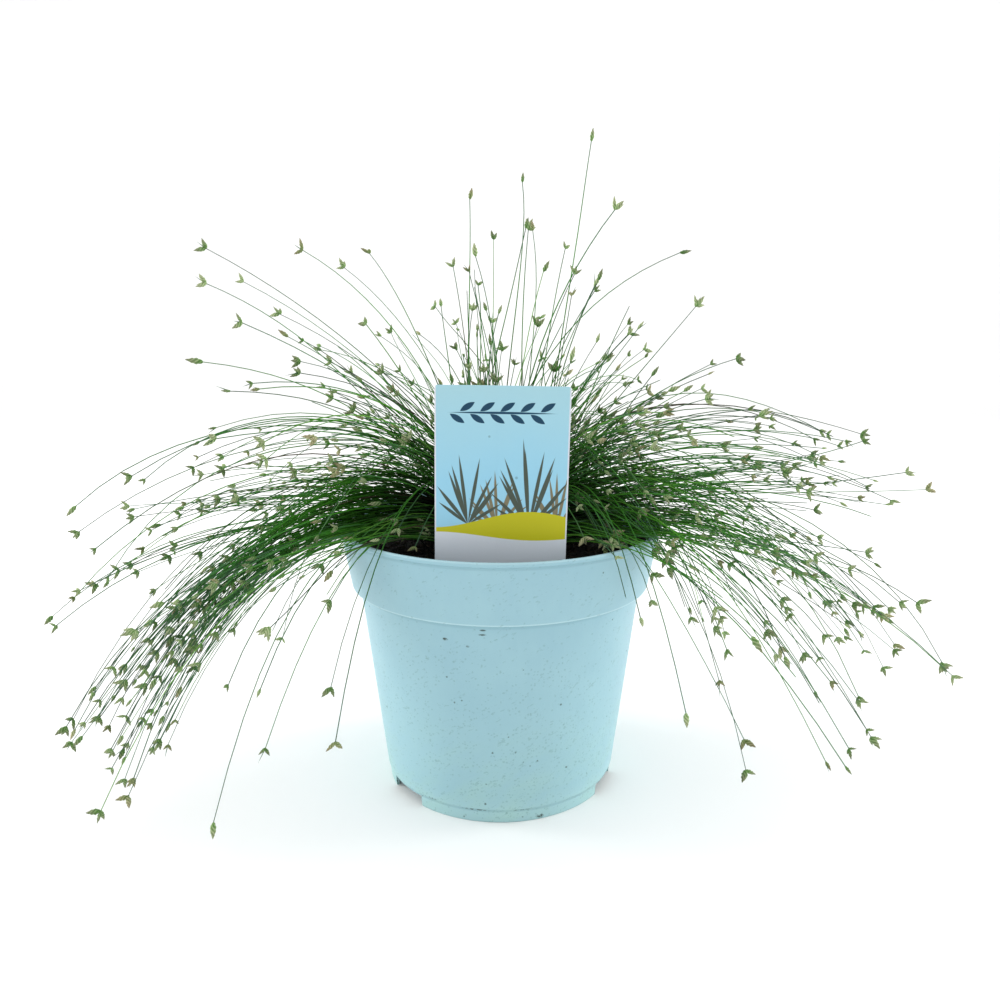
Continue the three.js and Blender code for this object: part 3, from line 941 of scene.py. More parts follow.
# %% Strand helper
class StrandMesh:
    """Collects closed thin shapes and makes one mesh of them. Each vertex has two values, tone and along."""

    def __init__(self):
        self.corners = []
        self.faces = []
        self.tones = []
        self.alongs = []
        self.finishes = []

    def add_ring(self, middle, sideways, lift, radii, along, tones):
        """A ring of vertices around a middle, one for each radius. Returns their numbers."""
        first = len(self.corners)
        for side, radius in enumerate(radii):
            angle = 2 * math.pi * side / len(radii)
            self.corners.append(middle + (sideways * math.cos(angle) + lift * math.sin(angle)) * radius)
            self.tones.append(tones[side])
            self.alongs.append(along)
        return list(range(first, first + len(radii)))

    def add_point(self, place, along, tone):
        """One vertex. Returns its number."""
        self.corners.append(place)
        self.tones.append(tone)
        self.alongs.append(along)
        return len(self.corners) - 1

    def add_face(self, corners, finish):
        """One face, between vertices that are given by their numbers."""
        self.faces.append(corners)
        self.finishes.append(finish)

    def join_rings(self, low, high, finish):
        """A belt of faces between two rings of as many vertices."""
        for side in range(len(low)):
            other = (side + 1) % len(low)
            self.add_face((low[side], low[other], high[other], high[side]), finish)

    def tube(self, path, radii, sides, tone, finish, sideways, alongs=(0.0, 1.0)):
        """A closed tube along a path that ends in a point."""
        steps = len(path) - 1
        ring = None
        for step, (middle, radius) in enumerate(zip(path, radii)):
            along = alongs[0] + (alongs[1] - alongs[0]) * step / steps
            ahead = (path[min(step + 1, steps)] - path[max(step - 1, 0)]).normalized()
            lift = sideways.cross(ahead).normalized()
            side = ahead.cross(lift).normalized()
            if step == steps:
                point = self.add_point(middle, along, tone)
                for corner in range(sides):
                    self.add_face((ring[corner], ring[(corner + 1) % sides], point), finish)
                break
            new_ring = self.add_ring(middle, side, lift, [radius] * sides, along, [tone] * sides)
            if ring is None:
                self.add_face(tuple(reversed(new_ring)), finish)
            else:
                self.join_rings(ring, new_ring, finish)
            ring = new_ring

    def build(self, name):
        """One mesh of all the strands, with their tones and shares as attributes for the finishes."""
        mesh = bpy.data.meshes.new(name)
        mesh.from_pydata(self.corners, [], self.faces)
        for label, values in (("tone", self.tones), ("along", self.alongs)):
            layer = mesh.attributes.new(label, "FLOAT", "POINT")
            layer.data.foreach_set("value", np.array(values, np.float32))
        mesh.polygons.foreach_set("material_index", np.array(self.finishes, np.int32))
        mesh.shade_smooth()
        return mesh


print("strand helper ready")

# %% Crumbs
# A crumb lies between two radii. It is a tube whose radius swells and shrinks from step to step
CRUMB_RING = (0.3 * SOIL_EDGE, SOIL_EDGE - 2.5 * MM)
CRUMB_SIZES = (0.5, 1.7)
CRUMB_STEPS = (-1.0, -0.5, 0.3, 1.0)
CRUMB_SWELL = (0.35, 0.8, 0.75, 0.0)
CRUMB_ROUGHNESS = (0.7, 1.2)
CRUMB_SIDES = 5
CRUMB_TONE = 0.7
# A crumb is sunk in the soil by the first number times its size. Its direction varies upright by the
# second number, and level by 1
CRUMB_DEPTH = 0.1
CRUMB_TILT = 0.4
# A direction near to upright, from which the sides of a crumb are found
CRUMB_UP = Vector((0.13, 0.21, 1.0))


def ring_place(azimuth, inner, outer, chance):
    """A place at an azimuth that is as likely anywhere on the area between two radii."""
    return outward(azimuth) * math.sqrt(chance.uniform(inner ** 2, outer ** 2))


def add_crumb(litter, chance):
    """A clod or a bit of bark: a short lump that lies in any direction."""
    place = ring_place(chance.uniform(0, 360), *CRUMB_RING, chance)
    size = chance.uniform(*CRUMB_SIZES) * MM
    place.z = soil_surface(place.x, place.y) - CRUMB_DEPTH * size
    heading = Vector((chance.gauss(0, 1), chance.gauss(0, 1), chance.gauss(0, CRUMB_TILT))).normalized()
    sideways = heading.cross(CRUMB_UP).normalized()
    path = [place + heading * size * step for step in CRUMB_STEPS]
    radii = [size * share * chance.uniform(*CRUMB_ROUGHNESS) for share in CRUMB_SWELL]
    litter.tube(path, radii, CRUMB_SIDES, chance.random() * CRUMB_TONE, 0, sideways)


print("crumb sizes in mm:", CRUMB_SIZES)

# %% Fibres
# A fibre starts between two radii, and no part of it lies beyond the edge. Its lengths and thicknesses are
# in mm, and its bend from step to step is in degrees
FIBRE_RING = (0.35 * SOIL_EDGE, SOIL_EDGE - 5 * MM)
FIBRE_EDGE = SOIL_EDGE - 1.5 * MM
FIBRE_LENGTHS = (4, 14)
FIBRE_THICKNESS = (0.10, 0.26)
FIBRE_BEND = 22
FIBRE_STEPS = 6
FIBRE_SIDES = 4
# A fibre lies this far off the soil at its ends, and up to so much more in its middle, in mm
FIBRE_LIFT = 0.3
FIBRE_ARCH = 1.2
# The tone of the darkest fibre, while that of the palest is 1
FIBRE_TONE = 0.35
# A direction near to upright, from which the sides of a fibre are found
FIBRE_UP = Vector((0.3, 0.2, 1.0)).normalized()


def add_fibre(litter, chance):
    """A dry root that bends over the soil and lifts off it a little in its middle."""
    place = ring_place(chance.uniform(0, 360), *FIBRE_RING, chance)
    heading = chance.uniform(0, 360)
    length = chance.uniform(*FIBRE_LENGTHS) * MM
    bend = chance.gauss(0, FIBRE_BEND)
    path = []
    for step in range(FIBRE_STEPS + 1):
        lift = (FIBRE_LIFT + FIBRE_ARCH * math.sin(math.pi * step / FIBRE_STEPS) * chance.random()) * MM
        level = min(math.hypot(place.x, place.y), FIBRE_EDGE)
        point = place.normalized() * level
        point.z = soil_surface(point.x, point.y) + lift
        path.append(point)
        place = place + outward(heading + bend * step) * length / FIBRE_STEPS
    thick = chance.uniform(*FIBRE_THICKNESS) * MM
    radii = [thick] * FIBRE_STEPS + [0.0]
    tone = FIBRE_TONE + (1 - FIBRE_TONE) * chance.random()
    litter.tube(path, radii, FIBRE_SIDES, tone, 0, FIBRE_UP)


print("fibre lengths in mm:", FIBRE_LENGTHS)

# %% Soil litter
LITTER_SEED = 11
CRUMBS = 520
FIBRES = 260


def make_soil_litter():
    """Clods, bark bits and dry fibres that lie on the soil, all in one mesh."""
    chance = random.Random(LITTER_SEED)
    litter = StrandMesh()
    for _ in range(CRUMBS):
        add_crumb(litter, chance)
    for _ in range(FIBRES):
        add_fibre(litter, chance)
    return place_piece("soil_litter", litter.build("soil_litter"), ["soil"], [fibre_finish])


soil_litter = make_soil_litter()
print("litter faces:", len(soil_litter.data.polygons))

# %% [markdown]
# ## Stem finishes
# A stem is a smooth round thread. It is dark, saturated green low in the clump and greyer towards its tip,
# and no two are the same green. So the tint comes from the two values stored in the mesh: how far along the
# stem a corner lies, and the stem's own tone. The seed heads use the same group with paler colours. Some of
# them are riper, and some stems are dry, so these get finishes of their own.
# The dark root colour of a stem is painted shade, and each finish paints more shade towards the heart of the
# clump.

# %% Stem finishes
# The stem's root colour is nearly black: painted shade, low in the clump where the stems shade each other
STEM_ROOT_SHADE = colour(0.001, 0.007, 0.001)
STEM_MIDDLE = colour(0.042, 0.255, 0.004)
STEM_TIP = colour(0.060, 0.145, 0.074)
STEM_PALE = colour(0.190, 0.430, 0.060)
HEAD_ROOT = colour(0.120, 0.260, 0.065)
HEAD_MIDDLE = colour(0.235, 0.305, 0.145)
HEAD_TIP = colour(0.200, 0.220, 0.125)
HEAD_PALE = colour(0.560, 0.630, 0.370)
RIPE_ROOT = colour(0.165, 0.245, 0.080)
RIPE_MIDDLE = colour(0.270, 0.290, 0.135)
RIPE_TIP = colour(0.235, 0.200, 0.115)
RIPE_PALE = colour(0.610, 0.570, 0.370)
DRY_ROOT = colour(0.030, 0.022, 0.008)
DRY_MIDDLE = colour(0.110, 0.095, 0.050)
DRY_PALE = colour(0.300, 0.280, 0.180)
# Painted shade: the clump is darkest up to the first distance from the soil's middle, and fully light from
# the second on
HEART_RADIUS = 35 * MM
HEART_EDGE = 82 * MM
HEART_SHADE = 0.35
# Streaks make a stem smoother and rougher than the rest of it by up to so much
STREAK_ROUGHNESS = (-0.07, 0.1)
GROWTH_SHINE = 0.12
# How rough each finish is, and how deep its relief is, in mm
STEM_FEEL = (0.45, 0.05)
HEAD_FEEL = (0.65, 0.12)
RIPE_FEEL = (0.7, 0.12)
DRY_FEEL = (0.6, 0.08)


def finish_growth(name, root, middle, tip, pale, rough, relief_mm):
    """A living finish, with painted shade that darkens it towards the heart of the clump, where the stems are
    tightly packed.
    """
    material, tree, shader = new_material(name)
    where = position_of(tree)
    values = {
        "Root Colour": root,
        "Middle Colour": middle,
        "Tip Colour": tip,
        "Pale Colour": pale,
        "Position": where,
    }
    tint = use_group(tree, LIVING_TINT, values)
    heart = (0.0, 0.0, SOIL_TOP)
    away = put(tree, "ShaderNodeVectorMath", {0: where, 1: heart}, operation="DISTANCE").outputs["Value"]
    painted_heart_shade = fit_range(tree, away, HEART_RADIUS, HEART_EDGE, HEART_SHADE, 1.0)
    tree.links.new(scaled(tree, tint["Colour"], painted_heart_shade), shader["Base Color"])
    smoothest, roughest = [rough + change for change in STREAK_ROUGHNESS]
    roughness = fit_range(tree, tint["Streaks"], *NOISE_SPAN, smoothest, roughest)
    tree.links.new(roughness, shader["Roughness"])
    raise_surface(tree, shader, tint["Streaks"], relief_mm)
    shader["Specular IOR Level"].default_value = GROWTH_SHINE
    return material


stem_finish = finish_growth("stem_green", STEM_ROOT_SHADE, STEM_MIDDLE, STEM_TIP, STEM_PALE, *STEM_FEEL)
head_finish = finish_growth("seed_head", HEAD_ROOT, HEAD_MIDDLE, HEAD_TIP, HEAD_PALE, *HEAD_FEEL)
ripe_finish = finish_growth("ripe_head", RIPE_ROOT, RIPE_MIDDLE, RIPE_TIP, RIPE_PALE, *RIPE_FEEL)
dry_finish = finish_growth("dry_stem", DRY_ROOT, DRY_MIDDLE, STEM_TIP, DRY_PALE, *DRY_FEEL)
SHEAF_FINISHES = [stem_finish, head_finish, dry_finish, ripe_finish]
# The numbers of these finishes in a sheaf's mesh
GREEN, HEAD, DRY, RIPE = range(4)
print("growth finishes:", [finish.name for finish in SHEAF_FINISHES])

# %% [markdown]
# ## Crown
# The crown is the matted heart that all stems grow from: old sheaths and stubs packed together. A low dome
# carries several hundred short stubs, green ones among brown ones, so the clump looks full where the stems
# are closest.

# %% Crown dome
CROWN_RINGS = 14
CROWN_SIDES = 56
# How uneven the dome's rings are, the highest tone on them, the tone of the dome's top, and where along a
# stem their colour is found
DOME_WIDTHS = (0.97, 1.03)
DOME_TONE = 0.5
DOME_TOP_TONE = 0.2
DOME_ALONG = 0.1


def crown_height(radius):
    """The height of the crown's dome at a distance from its middle."""
    share = min(radius / CROWN_RADIUS, 1.0)
    return SOIL_TOP + GAP + MM + (CROWN_RISE - MM) * math.sqrt(1 - share * share)


def add_dome(crown, chance):
    """A closed dome of rings, each a little uneven in its width and its tone."""
    low = None
    for ring in range(CROWN_RINGS):
        radius = CROWN_RADIUS * (1 - ring / CROWN_RINGS)
        height = crown_height(radius) if ring else SOIL_TOP - MM
        middle = Vector((0.0, 0.0, height))
        radii = [radius * chance.uniform(*DOME_WIDTHS) for _ in range(CROWN_SIDES)]
        tones = [chance.random() * DOME_TONE for _ in range(CROWN_SIDES)]
        new_ring = crown.add_ring(middle, Vector((1, 0, 0)), Vector((0, 1, 0)), radii, DOME_ALONG, tones)
        if low is None:
            crown.add_face(tuple(reversed(new_ring)), 0)
        else:
            crown.join_rings(low, new_ring, 0)
        low = new_ring
    top = crown.add_point(Vector((0.0, 0.0, crown_height(0.0))), DOME_ALONG, DOME_TOP_TONE)
    for side in range(CROWN_SIDES):
        crown.add_face((low[side], low[(side + 1) % CROWN_SIDES], top), 0)


print("crown height in mm:", round(crown_height(0.0) / MM, 1))

# %% Crown stubs
# Lengths and thicknesses in mm, and how thick a stub is at each step
STUB_LENGTHS = (5, 17)
STUB_THICKNESS = (0.3, 0.6)
STUB_STEPS = 3
STUB_TAPER = (1.0, 0.9, 0.7, 0.0)
STUB_DEPTH = 0.8 * MM
STUB_SIDES = 5
STUB_ALONGS = (0.0, 0.9)
# How far a stub at the crown's edge leans out for each unit up, how much more it bends, and its turn aside
# in degrees
STUB_LEANS = (0.3, 1.5)
STUB_BEND = 0.1
STUB_TURN = 25
# A share of the stubs is old. Their tones go up to straw, and those of the green ones stay low
OLD_STUBS = 0.35
OLD_TONE = 0.9
GREEN_TONE = 0.15


def add_stub(crown, chance):
    """A short pointed stub. It leans out more the farther it stands from the middle."""
    azimuth = chance.uniform(0, 360)
    radius = (CROWN_RADIUS - MM) * math.sqrt(chance.random())
    start = outward(azimuth) * radius
    start.z = crown_height(radius) - STUB_DEPTH
    lean = radius / CROWN_RADIUS * chance.uniform(*STUB_LEANS)
    way = (outward(azimuth + chance.gauss(0, STUB_TURN)) * lean + Vector((0, 0, 1.0))).normalized()
    length = chance.uniform(*STUB_LENGTHS) * MM
    bend = outward(azimuth) * lean * length * STUB_BEND
    path = []
    for step in range(STUB_STEPS + 1):
        share = step / STUB_STEPS
        path.append(start + way * length * share + bend * share ** 2)
    thick = chance.uniform(*STUB_THICKNESS) * MM
    tone = (OLD_TONE if chance.random() < OLD_STUBS else GREEN_TONE) * chance.random()
    radii = [thick * share for share in STUB_TAPER]
    crown.tube(path, radii, STUB_SIDES, tone, 0, outward(azimuth + 90), STUB_ALONGS)


print("stub lengths in mm:", STUB_LENGTHS)

# %% Crown
CROWN_BROWN = colour(0.0300, 0.0225, 0.0090)
CROWN_GREEN = colour(0.0150, 0.0425, 0.0075)
CROWN_STRAW = colour(0.1200, 0.1000, 0.0450)
CROWN_FEEL = (0.75, 0.2)
CROWN_SEED = 23
STUBS = 900


def make_crown():
    """The dome and all its stubs as one piece."""
    chance = random.Random(CROWN_SEED)
    crown = StrandMesh()
    add_dome(crown, chance)
    for _ in range(STUBS):
        add_stub(crown, chance)
    finish = finish_growth("crown_fibre", CROWN_BROWN, CROWN_GREEN, CROWN_GREEN, CROWN_STRAW, *CROWN_FEEL)
    return place_piece("crown_mat", crown.build("crown_mat"), ["crown"], [finish])


crown_piece = make_crown()
print("crown faces:", len(crown_piece.data.polygons))

# %% [markdown]
# ## Sheaves
# Each solid tuft in the model shows where one sheaf of stems goes. Its farthest corner is the end of its
# longest stem, so the sheaf's azimuth, reach and height are read from there. Many thin stems then follow
# that arc, each with its own start in the crown, its own turn to the side and its own length. A long stem
# has to pass over the rim of the pot, so its bend is worked out from its height above the rim.

# %% Kinds of sheaf
# For each kind of sheaf: how far out its roots lie, whether it passes over the rim and how much higher at
# most, how far it fans out in degrees, how far its stems swerve in mm, how many stems each sheaf has in the
# order of the solids, and which share of them grows long
SHEAVES = {
    "hanging_stems": {
        "ring": 26 * MM,
        "over_rim": True,
        "lift": 20 * MM,
        "fan": 3.6,
        "swerve": 4.0,
        "stems": (6, 13, 76, 82, 28, 19, 17, 16, 17, 19, 35, 37, 36, 28, 25, 17, 16, 17),
        "long": (
            0.6, 0.2, 0.85, 0.85, 0.6, 0.3, 0.15, 0.15, 0.2,
            0.6, 0.5, 0.75, 0.8, 0.75, 0.5, 0.3, 0.2, 0.2,
        ),
    },
    "arching_stems": {
        "ring": 22 * MM,
        "over_rim": True,
        "lift": 16 * MM,
        "fan": 7.0,
        "swerve": 8.0,
        "stems": (13, 35, 25, 22, 22, 19, 19, 13, 28, 39, 47, 31, 25, 18),
        "long": (0.4, 0.5, 0.6, 0.5, 0.4, 0.35, 0.3, 0.3, 0.6, 0.7, 0.7, 0.5, 0.3, 0.3),
    },
    "spreading_stems": {
        "ring": 18 * MM,
        "over_rim": False,
        "lift": 0.0,
        "fan": 10.0,
        "swerve": 8.0,
        "stems": (24, 22, 13, 10, 19, 22, 37, 38, 27, 18, 20, 12),
        "long": (0.35, 0.3, 0.3, 0.3, 0.35, 0.35, 0.4, 0.35, 0.3, 0.3, 0.35, 0.35),
    },
    "upright_stems": {
        "ring": 14 * MM,
        "over_rim": False,
        "lift": 0.0,
        "fan": 18.0,
        "swerve": 6.0,
        "stems": (19, 5, 6, 11, 7, 7, 9),
        "long": (0.5,) * 7,
    },
}
# Sheaves whose stems lie to one side of the longest, by so many degrees
TURNS = {"hanging_stems_03": -7.0, "hanging_stems_04": 6.0}
# Sheaves that fan out and swerve more or less than others of their kind, by this factor
LOOSE = {
    "hanging_stems_03": 0.85,
    "hanging_stems_04": 0.85,
    "hanging_stems_11": 2.4,
    "hanging_stems_12": 2.2,
    "hanging_stems_13": 1.5,
}

print("kinds of sheaf:", list(SHEAVES))

# %% Direction of a sheaf
HEAD_LENGTH = 6.0 * MM


def sheaf_end(node):
    """Azimuth in degrees, reach and height of the end of a tuft's longest stem, less its seed head."""
    corners = np.array([corner.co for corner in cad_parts[node].data.vertices])
    crown_middle = np.array((0.0, 0.0, SOIL_TOP))
    away = corners - crown_middle
    far = Vector(away[np.argmax((away ** 2).sum(axis=1))])
    end = Vector(crown_middle) + far * (1 - HEAD_LENGTH / far.length)
    return math.degrees(math.atan2(end.x, -end.y)), math.hypot(end.x, end.y), end.z


def sheaf_of(node, kind):
    """One sheaf: what its kind has, with its own direction, reach, height, turn and looseness."""
    azimuth, reach, height = sheaf_end(node)
    loose = LOOSE.get(node, 1.0)
    sheaf = dict(kind, fan=kind["fan"] * loose, swerve=kind["swerve"] * loose)
    sheaf.update(azimuth=azimuth, reach=reach, height=height, turn=TURNS.get(node, 0.0))
    return sheaf


print("sheaves:", {name: sum(node.startswith(name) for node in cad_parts) for name in SHEAVES})

# %% Arcs
# A free stem bends at LEAN of its way out and at RISE of its way up, and no flatter than STEEPNESS
LEAN = 0.3
RISE = 0.66
STEEPNESS = 1.75
# Factors that vary the first two
LEAN_SPREAD = (0.7, 1.5)
RISE_SPREAD = (0.85, 1.15)
# A stem over the rim is pulled up at two shares of its way out, lower at the second by a share of its fall
FIRST_PULL = (0.20, 0.36)
SECOND_PULL = (0.58, 0.76)
MOST_DROP = 0.26
# Its pulls stand no higher above the rim than this share of its way out and down
STEEPEST = 0.27
RIM_SEARCH_STEPS = 12


def upright_arc(start, tip, chance):
    """The two points that pull a free stem's arc: it rises steeply first and then leans towards its tip."""
    span = Vector((tip.x - start.x, tip.y - start.y, 0.0))
    run = span * LEAN * chance.uniform(*LEAN_SPREAD)
    knee = start + run
    knee.z = start.z + max(RISE * chance.uniform(*RISE_SPREAD) * (tip.z - start.z), STEEPNESS * run.length)
    # A cubic curve pulled at two thirds of the way to the knee is a quadratic one pulled at the knee
    return start.lerp(knee, 2 / 3), tip.lerp(knee, 2 / 3)


def cubic_shares(share):
    """How much a curve's start, its two pull points and its end count at a share of its length."""
    rest = 1 - share
    return rest ** 3, 3 * rest ** 2 * share, 3 * rest * share ** 2, share ** 3


def rim_arc(start, tip, above, chance):
    """The two points that pull an arc over the rim, high enough for the stem to clear the rim there."""
    span = Vector((tip.x - start.x, tip.y - start.y, 0.0))
    ahead = span.normalized()
    inward = start.x * ahead.x + start.y * ahead.y
    to_rim = math.sqrt(inward ** 2 - start.x ** 2 - start.y ** 2 + RIM_RADIUS ** 2) - inward
    first = span * chance.uniform(*FIRST_PULL)
    second = span * chance.uniform(*SECOND_PULL)
    low, high = 0.0, 1.0
    for _ in range(RIM_SEARCH_STEPS):
        share = (low + high) / 2
        before, near, far, after = cubic_shares(share)
        reached = near * first.length + far * second.length + after * span.length
        low, high = (share, high) if reached < to_rim else (low, share)
    drop = chance.uniform(0.0, MOST_DROP) * max(POT_HEIGHT + above - tip.z, 0.0)
    lift = (POT_HEIGHT + above - before * start.z - after * tip.z + far * drop) / (near + far)
    lift = min(lift, POT_HEIGHT + above + STEEPEST * (span.length + max(POT_HEIGHT - tip.z, 0.0)))
    near_pull = start + first
    far_pull = start + second
    near_pull.z = lift
    far_pull.z = lift - drop
    return near_pull, far_pull


print("curve shares half way:", cubic_shares(0.5))

# %% [markdown]
# ## Seed heads
# A stem ends in one small spikelet or in a cluster of two to five, and each spikelet is a pointed oval of
# overlapping scales. To model every scale would take far too many faces. Here every second corner of a ring
# stands out and takes a paler tone, and the pattern shifts by one corner from ring to ring, so some sixty
# faces look like rows of scales.

# %% Spikelets
SPIKELET_RINGS = 7
SPIKELET_SIDES = 8
# Below 1, the widest ring lies nearer to the base than to the point
WIDEST = 0.75
# Factor on the radius and change of tone, between the scales and on them
# The paler tone on the scales is partly their pale edges and partly painted highlight, and the darker one
# between them painted shade
SCALE_RADII = (0.84, 1.2)
SCALE_TONES_AND_SHADE = (-0.36, 0.36)
TONE_SPREAD = 0.1


def add_spikelet(mesh, base, ahead, sideways, length, radius, tone, finish, chance):
    """A pointed oval of overlapping scales: each second corner of each ring stands out, as scales do."""
    lift = sideways.cross(ahead).normalized()
    side = ahead.cross(lift).normalized()
    start = mesh.add_point(base, 0.0, tone)
    low = None
    for ring in range(1, SPIKELET_RINGS + 1):
        share = ring / (SPIKELET_RINGS + 1)
        swell = radius * math.sin(math.pi * share ** WIDEST)
        radii = []
        tones = []
        for corner in range(SPIKELET_SIDES):
            proud = (corner + ring) % 2
            radii.append(swell * SCALE_RADII[proud])
            tones.append(tone + SCALE_TONES_AND_SHADE[proud] + chance.uniform(-TONE_SPREAD, TONE_SPREAD))
        middle = base + ahead * length * share
        new_ring = mesh.add_ring(middle, side, lift, radii, share, tones)
        if low is None:
            for corner in range(SPIKELET_SIDES):
                mesh.add_face((start, new_ring[(corner + 1) % SPIKELET_SIDES], new_ring[corner]), finish)
        else:
            mesh.join_rings(low, new_ring, finish)
        low = new_ring
    end = mesh.add_point(base + ahead * length, 1.0, tone)
    for corner in range(SPIKELET_SIDES):
        mesh.add_face((low[corner], low[(corner + 1) % SPIKELET_SIDES], end), finish)


print("faces of a spikelet:", (SPIKELET_RINGS + 1) * SPIKELET_SIDES)

# %% Bracts
# How far a bract leans aside, and its length and radii in mm
BRACT_LEAN = 0.5
BRACT_LENGTHS = (2.5, 6.5)
BRACT_RADII = (0.22, 0.14, 0.0)
BRACT_TONE = 0.4
BRACT_SIDES = 4
BRACT_ALONGS = (0.8, 1.0)


def add_bract(mesh, tip, ahead, sideways, lift, chance):
    """A short green thread that stands beside the spikelets."""
    aside = sideways * chance.uniform(-BRACT_LEAN, BRACT_LEAN)
    way = (ahead + aside + lift * chance.uniform(-BRACT_LEAN, BRACT_LEAN)).normalized()
    length = chance.uniform(*BRACT_LENGTHS) * MM
    path = [tip, tip + way * 0.5 * length, tip + way * length]
    radii = [radius * MM for radius in BRACT_RADII]
    across = way.cross(lift).normalized()
    mesh.tube(path, radii, BRACT_SIDES, BRACT_TONE, GREEN, across, BRACT_ALONGS)


print("bract lengths in mm:", BRACT_LENGTHS)

# %% Seed heads
SPIKELET_COUNTS = (1, 2, 3, 4, 5)
COUNT_WEIGHTS = (28, 27, 28, 12, 5)
# How far a spikelet leans away from its stem, and its length in mm
ALONE = {"splay": (0.0, 0.25), "length": (4.2, 5.6)}
CLUSTERED = {"splay": (0.35, 1.7), "length": (3.4, 5.0)}
# A spikelet's radius as a share of its length, and how deep it starts in the stem in mm
SPIKELET_WIDTHS = (0.12, 0.18)
SPIKELET_DEPTH = 0.3
# Clustered spikelets start up to so many mm down the stem, and up to so many radians from even places
CLUSTER_STEP = 0.25
CLUSTER_TURN = 0.4
# A direction that no spikelet follows, from which its sides are found
ODD_WAY = Vector((0.21, 0.34, 0.91))
# The head of a leading stem is large, and closed where the stem points up more than this
LEADING_HEAD = 1.3
OTHER_HEADS = (0.7, 1.22)
UPRIGHT = 0.85
# Shares of the heads that are ripe, and that have a bract
RIPE_HEADS = 0.16
BRACTS = 0.45


def add_seed_head(mesh, tip, ahead, sideways, chance, tone, leads):
    """One plump spikelet, or a cluster of two to five that part like a bird's toes, often with a bract."""
    count = chance.choices(SPIKELET_COUNTS, weights=COUNT_WEIGHTS)[0]
    vigour = LEADING_HEAD if leads else chance.uniform(*OTHER_HEADS)
    if leads and ahead.z > UPRIGHT:
        count = 1
    form = ALONE if count == 1 else CLUSTERED
    finish = RIPE if chance.random() < RIPE_HEADS else HEAD
    lift = sideways.cross(ahead).normalized()
    spin = chance.uniform(0, 2 * math.pi)
    for number in range(count):
        angle = spin + 2 * math.pi * number / count + chance.uniform(-CLUSTER_TURN, CLUSTER_TURN)
        splay = chance.uniform(*form["splay"])
        way = (ahead + (sideways * math.cos(angle) + lift * math.sin(angle)) * splay).normalized()
        length = vigour * chance.uniform(*form["length"]) * MM
        radius = length * chance.uniform(*SPIKELET_WIDTHS)
        level = way.cross(ODD_WAY).normalized()
        base = tip - way * SPIKELET_DEPTH * MM - ahead * chance.uniform(0, CLUSTER_STEP) * (count - 1) * MM
        shade = tone + chance.uniform(-TONE_SPREAD, TONE_SPREAD)
        add_spikelet(mesh, base, way, level, length, radius, shade, finish, chance)
    if chance.random() < BRACTS:
        add_bract(mesh, tip, ahead, sideways, lift, chance)


print("spikelets in a head:", SPIKELET_COUNTS)

# %% [markdown]
# ## Stems
# A stem rises from the crown, arches over and hangs by its own weight. Its middle line is a cubic curve
# from the crown to the end of its sheaf. Chance moves its start, its end and its bend, and a line that
# would pass through the pot, the card or the floor is dropped and drawn again. The line then becomes a
# tapered tube with few sides. All stems of a sheaf are joined into one mesh, since particles and hair
# curves would be lost in an export.

# %% Room for the stems
# The least heights above the floor, the soil and the lip, and how far in from the rim the lip counts
FLOOR_ROOM = 1.5 * MM
SOIL_ROOM = 2 * MM
LIP_ROOM = 0.8 * MM
LIP_WIDTH = 6 * MM
# The label's top edge, in mm above the ground
CARD_TOP = 178.6
# The card's room starts this far in front of the middle, reaches this far to each side, and ends this many
# mm above the card
CARD_FRONT = 48.0 * MM
CARD_ROOM = 26.5 * MM
CARD_TOP_ROOM = 4
# Between these azimuths, in degrees, no stem hangs down in front of the pot
FRONT_GAP = (-38.0, 31.0)


def is_clear(point):
    """True where a stem may pass: above floor and soil, over the lip, beside the card, and off the front."""
    level = math.hypot(point.x, point.y)
    azimuth = math.degrees(math.atan2(point.x, -point.y))
    if level > RIM_RADIUS and FRONT_GAP[0] < azimuth < FRONT_GAP[1]:
        return False
    if point.z < FLOOR_ROOM:
        return False
    at_card = point.y < -CARD_FRONT and abs(point.x) < CARD_ROOM
    if at_card and point.z < (CARD_TOP + CARD_TOP_ROOM) * MM:
        return False
    if level < RIM_RADIUS + LIP_ROOM:
        over_lip = level > RIM_RADIUS - LIP_WIDTH
        return point.z > (POT_HEIGHT + LIP_ROOM if over_lip else SOIL_TOP + SOIL_ROOM)
    return True


def way_is_clear(path):
    """True where a whole path is clear, looked at in four places between each point and the next."""
    for point, following in zip(path, path[1:]):
        for quarter in range(4):
            if not is_clear(point.lerp(following, quarter / 4)):
                return False
    return is_clear(path[-1])


print("clear above the lip:", is_clear(Vector((RIM_RADIUS, 0.0, POT_HEIGHT + 2 * LIP_ROOM))))

# %% Start and end of a stem
# A sheaf that ends lower than this and within so many degrees of the front has a share of its stems start
# forward of the crown's middle and pass close over the rim. In the foremost sheaves all stems do
LOW_SHEAF = 106.0 * MM
FRONT_SHEAVES = 100.0
FOREMOST_SHEAVES = 50.0
FRONT_ROOTS = 0.45
# How far forward, in mm, and how far roots scatter to the sides
FORWARD = (8, 26)
ROOT_SCATTER = 10 * MM
ROOT_DEPTH = 0.5 * MM
# Above 1, this makes more stems start far out than far in
FAR_OUT = 1.6
# Shares of the ring's radius: where forward stems start, and for others how much farther in the tallest one
# starts than the lowest, and how much all of them scatter
FORWARD_STARTS = (-0.3, 0.5)
FARTHER_IN = 1.2
START_SCATTER = (-0.4, 0.15)
# Spread of the stems' lengths, and of their heights as a share of the height from this far under the floor
SHORTER = 0.06
SHIFTED = 0.07
SHIFT_DEPTH = 30 * MM


def lies_low(sheaf, chance):
    """True for a stem that starts forward and passes close over the rim."""
    if abs(sheaf["azimuth"]) >= FRONT_SHEAVES or sheaf["height"] >= LOW_SHEAF:
        return False
    return abs(sheaf["azimuth"]) < FOREMOST_SHEAVES or chance.random() < FRONT_ROOTS


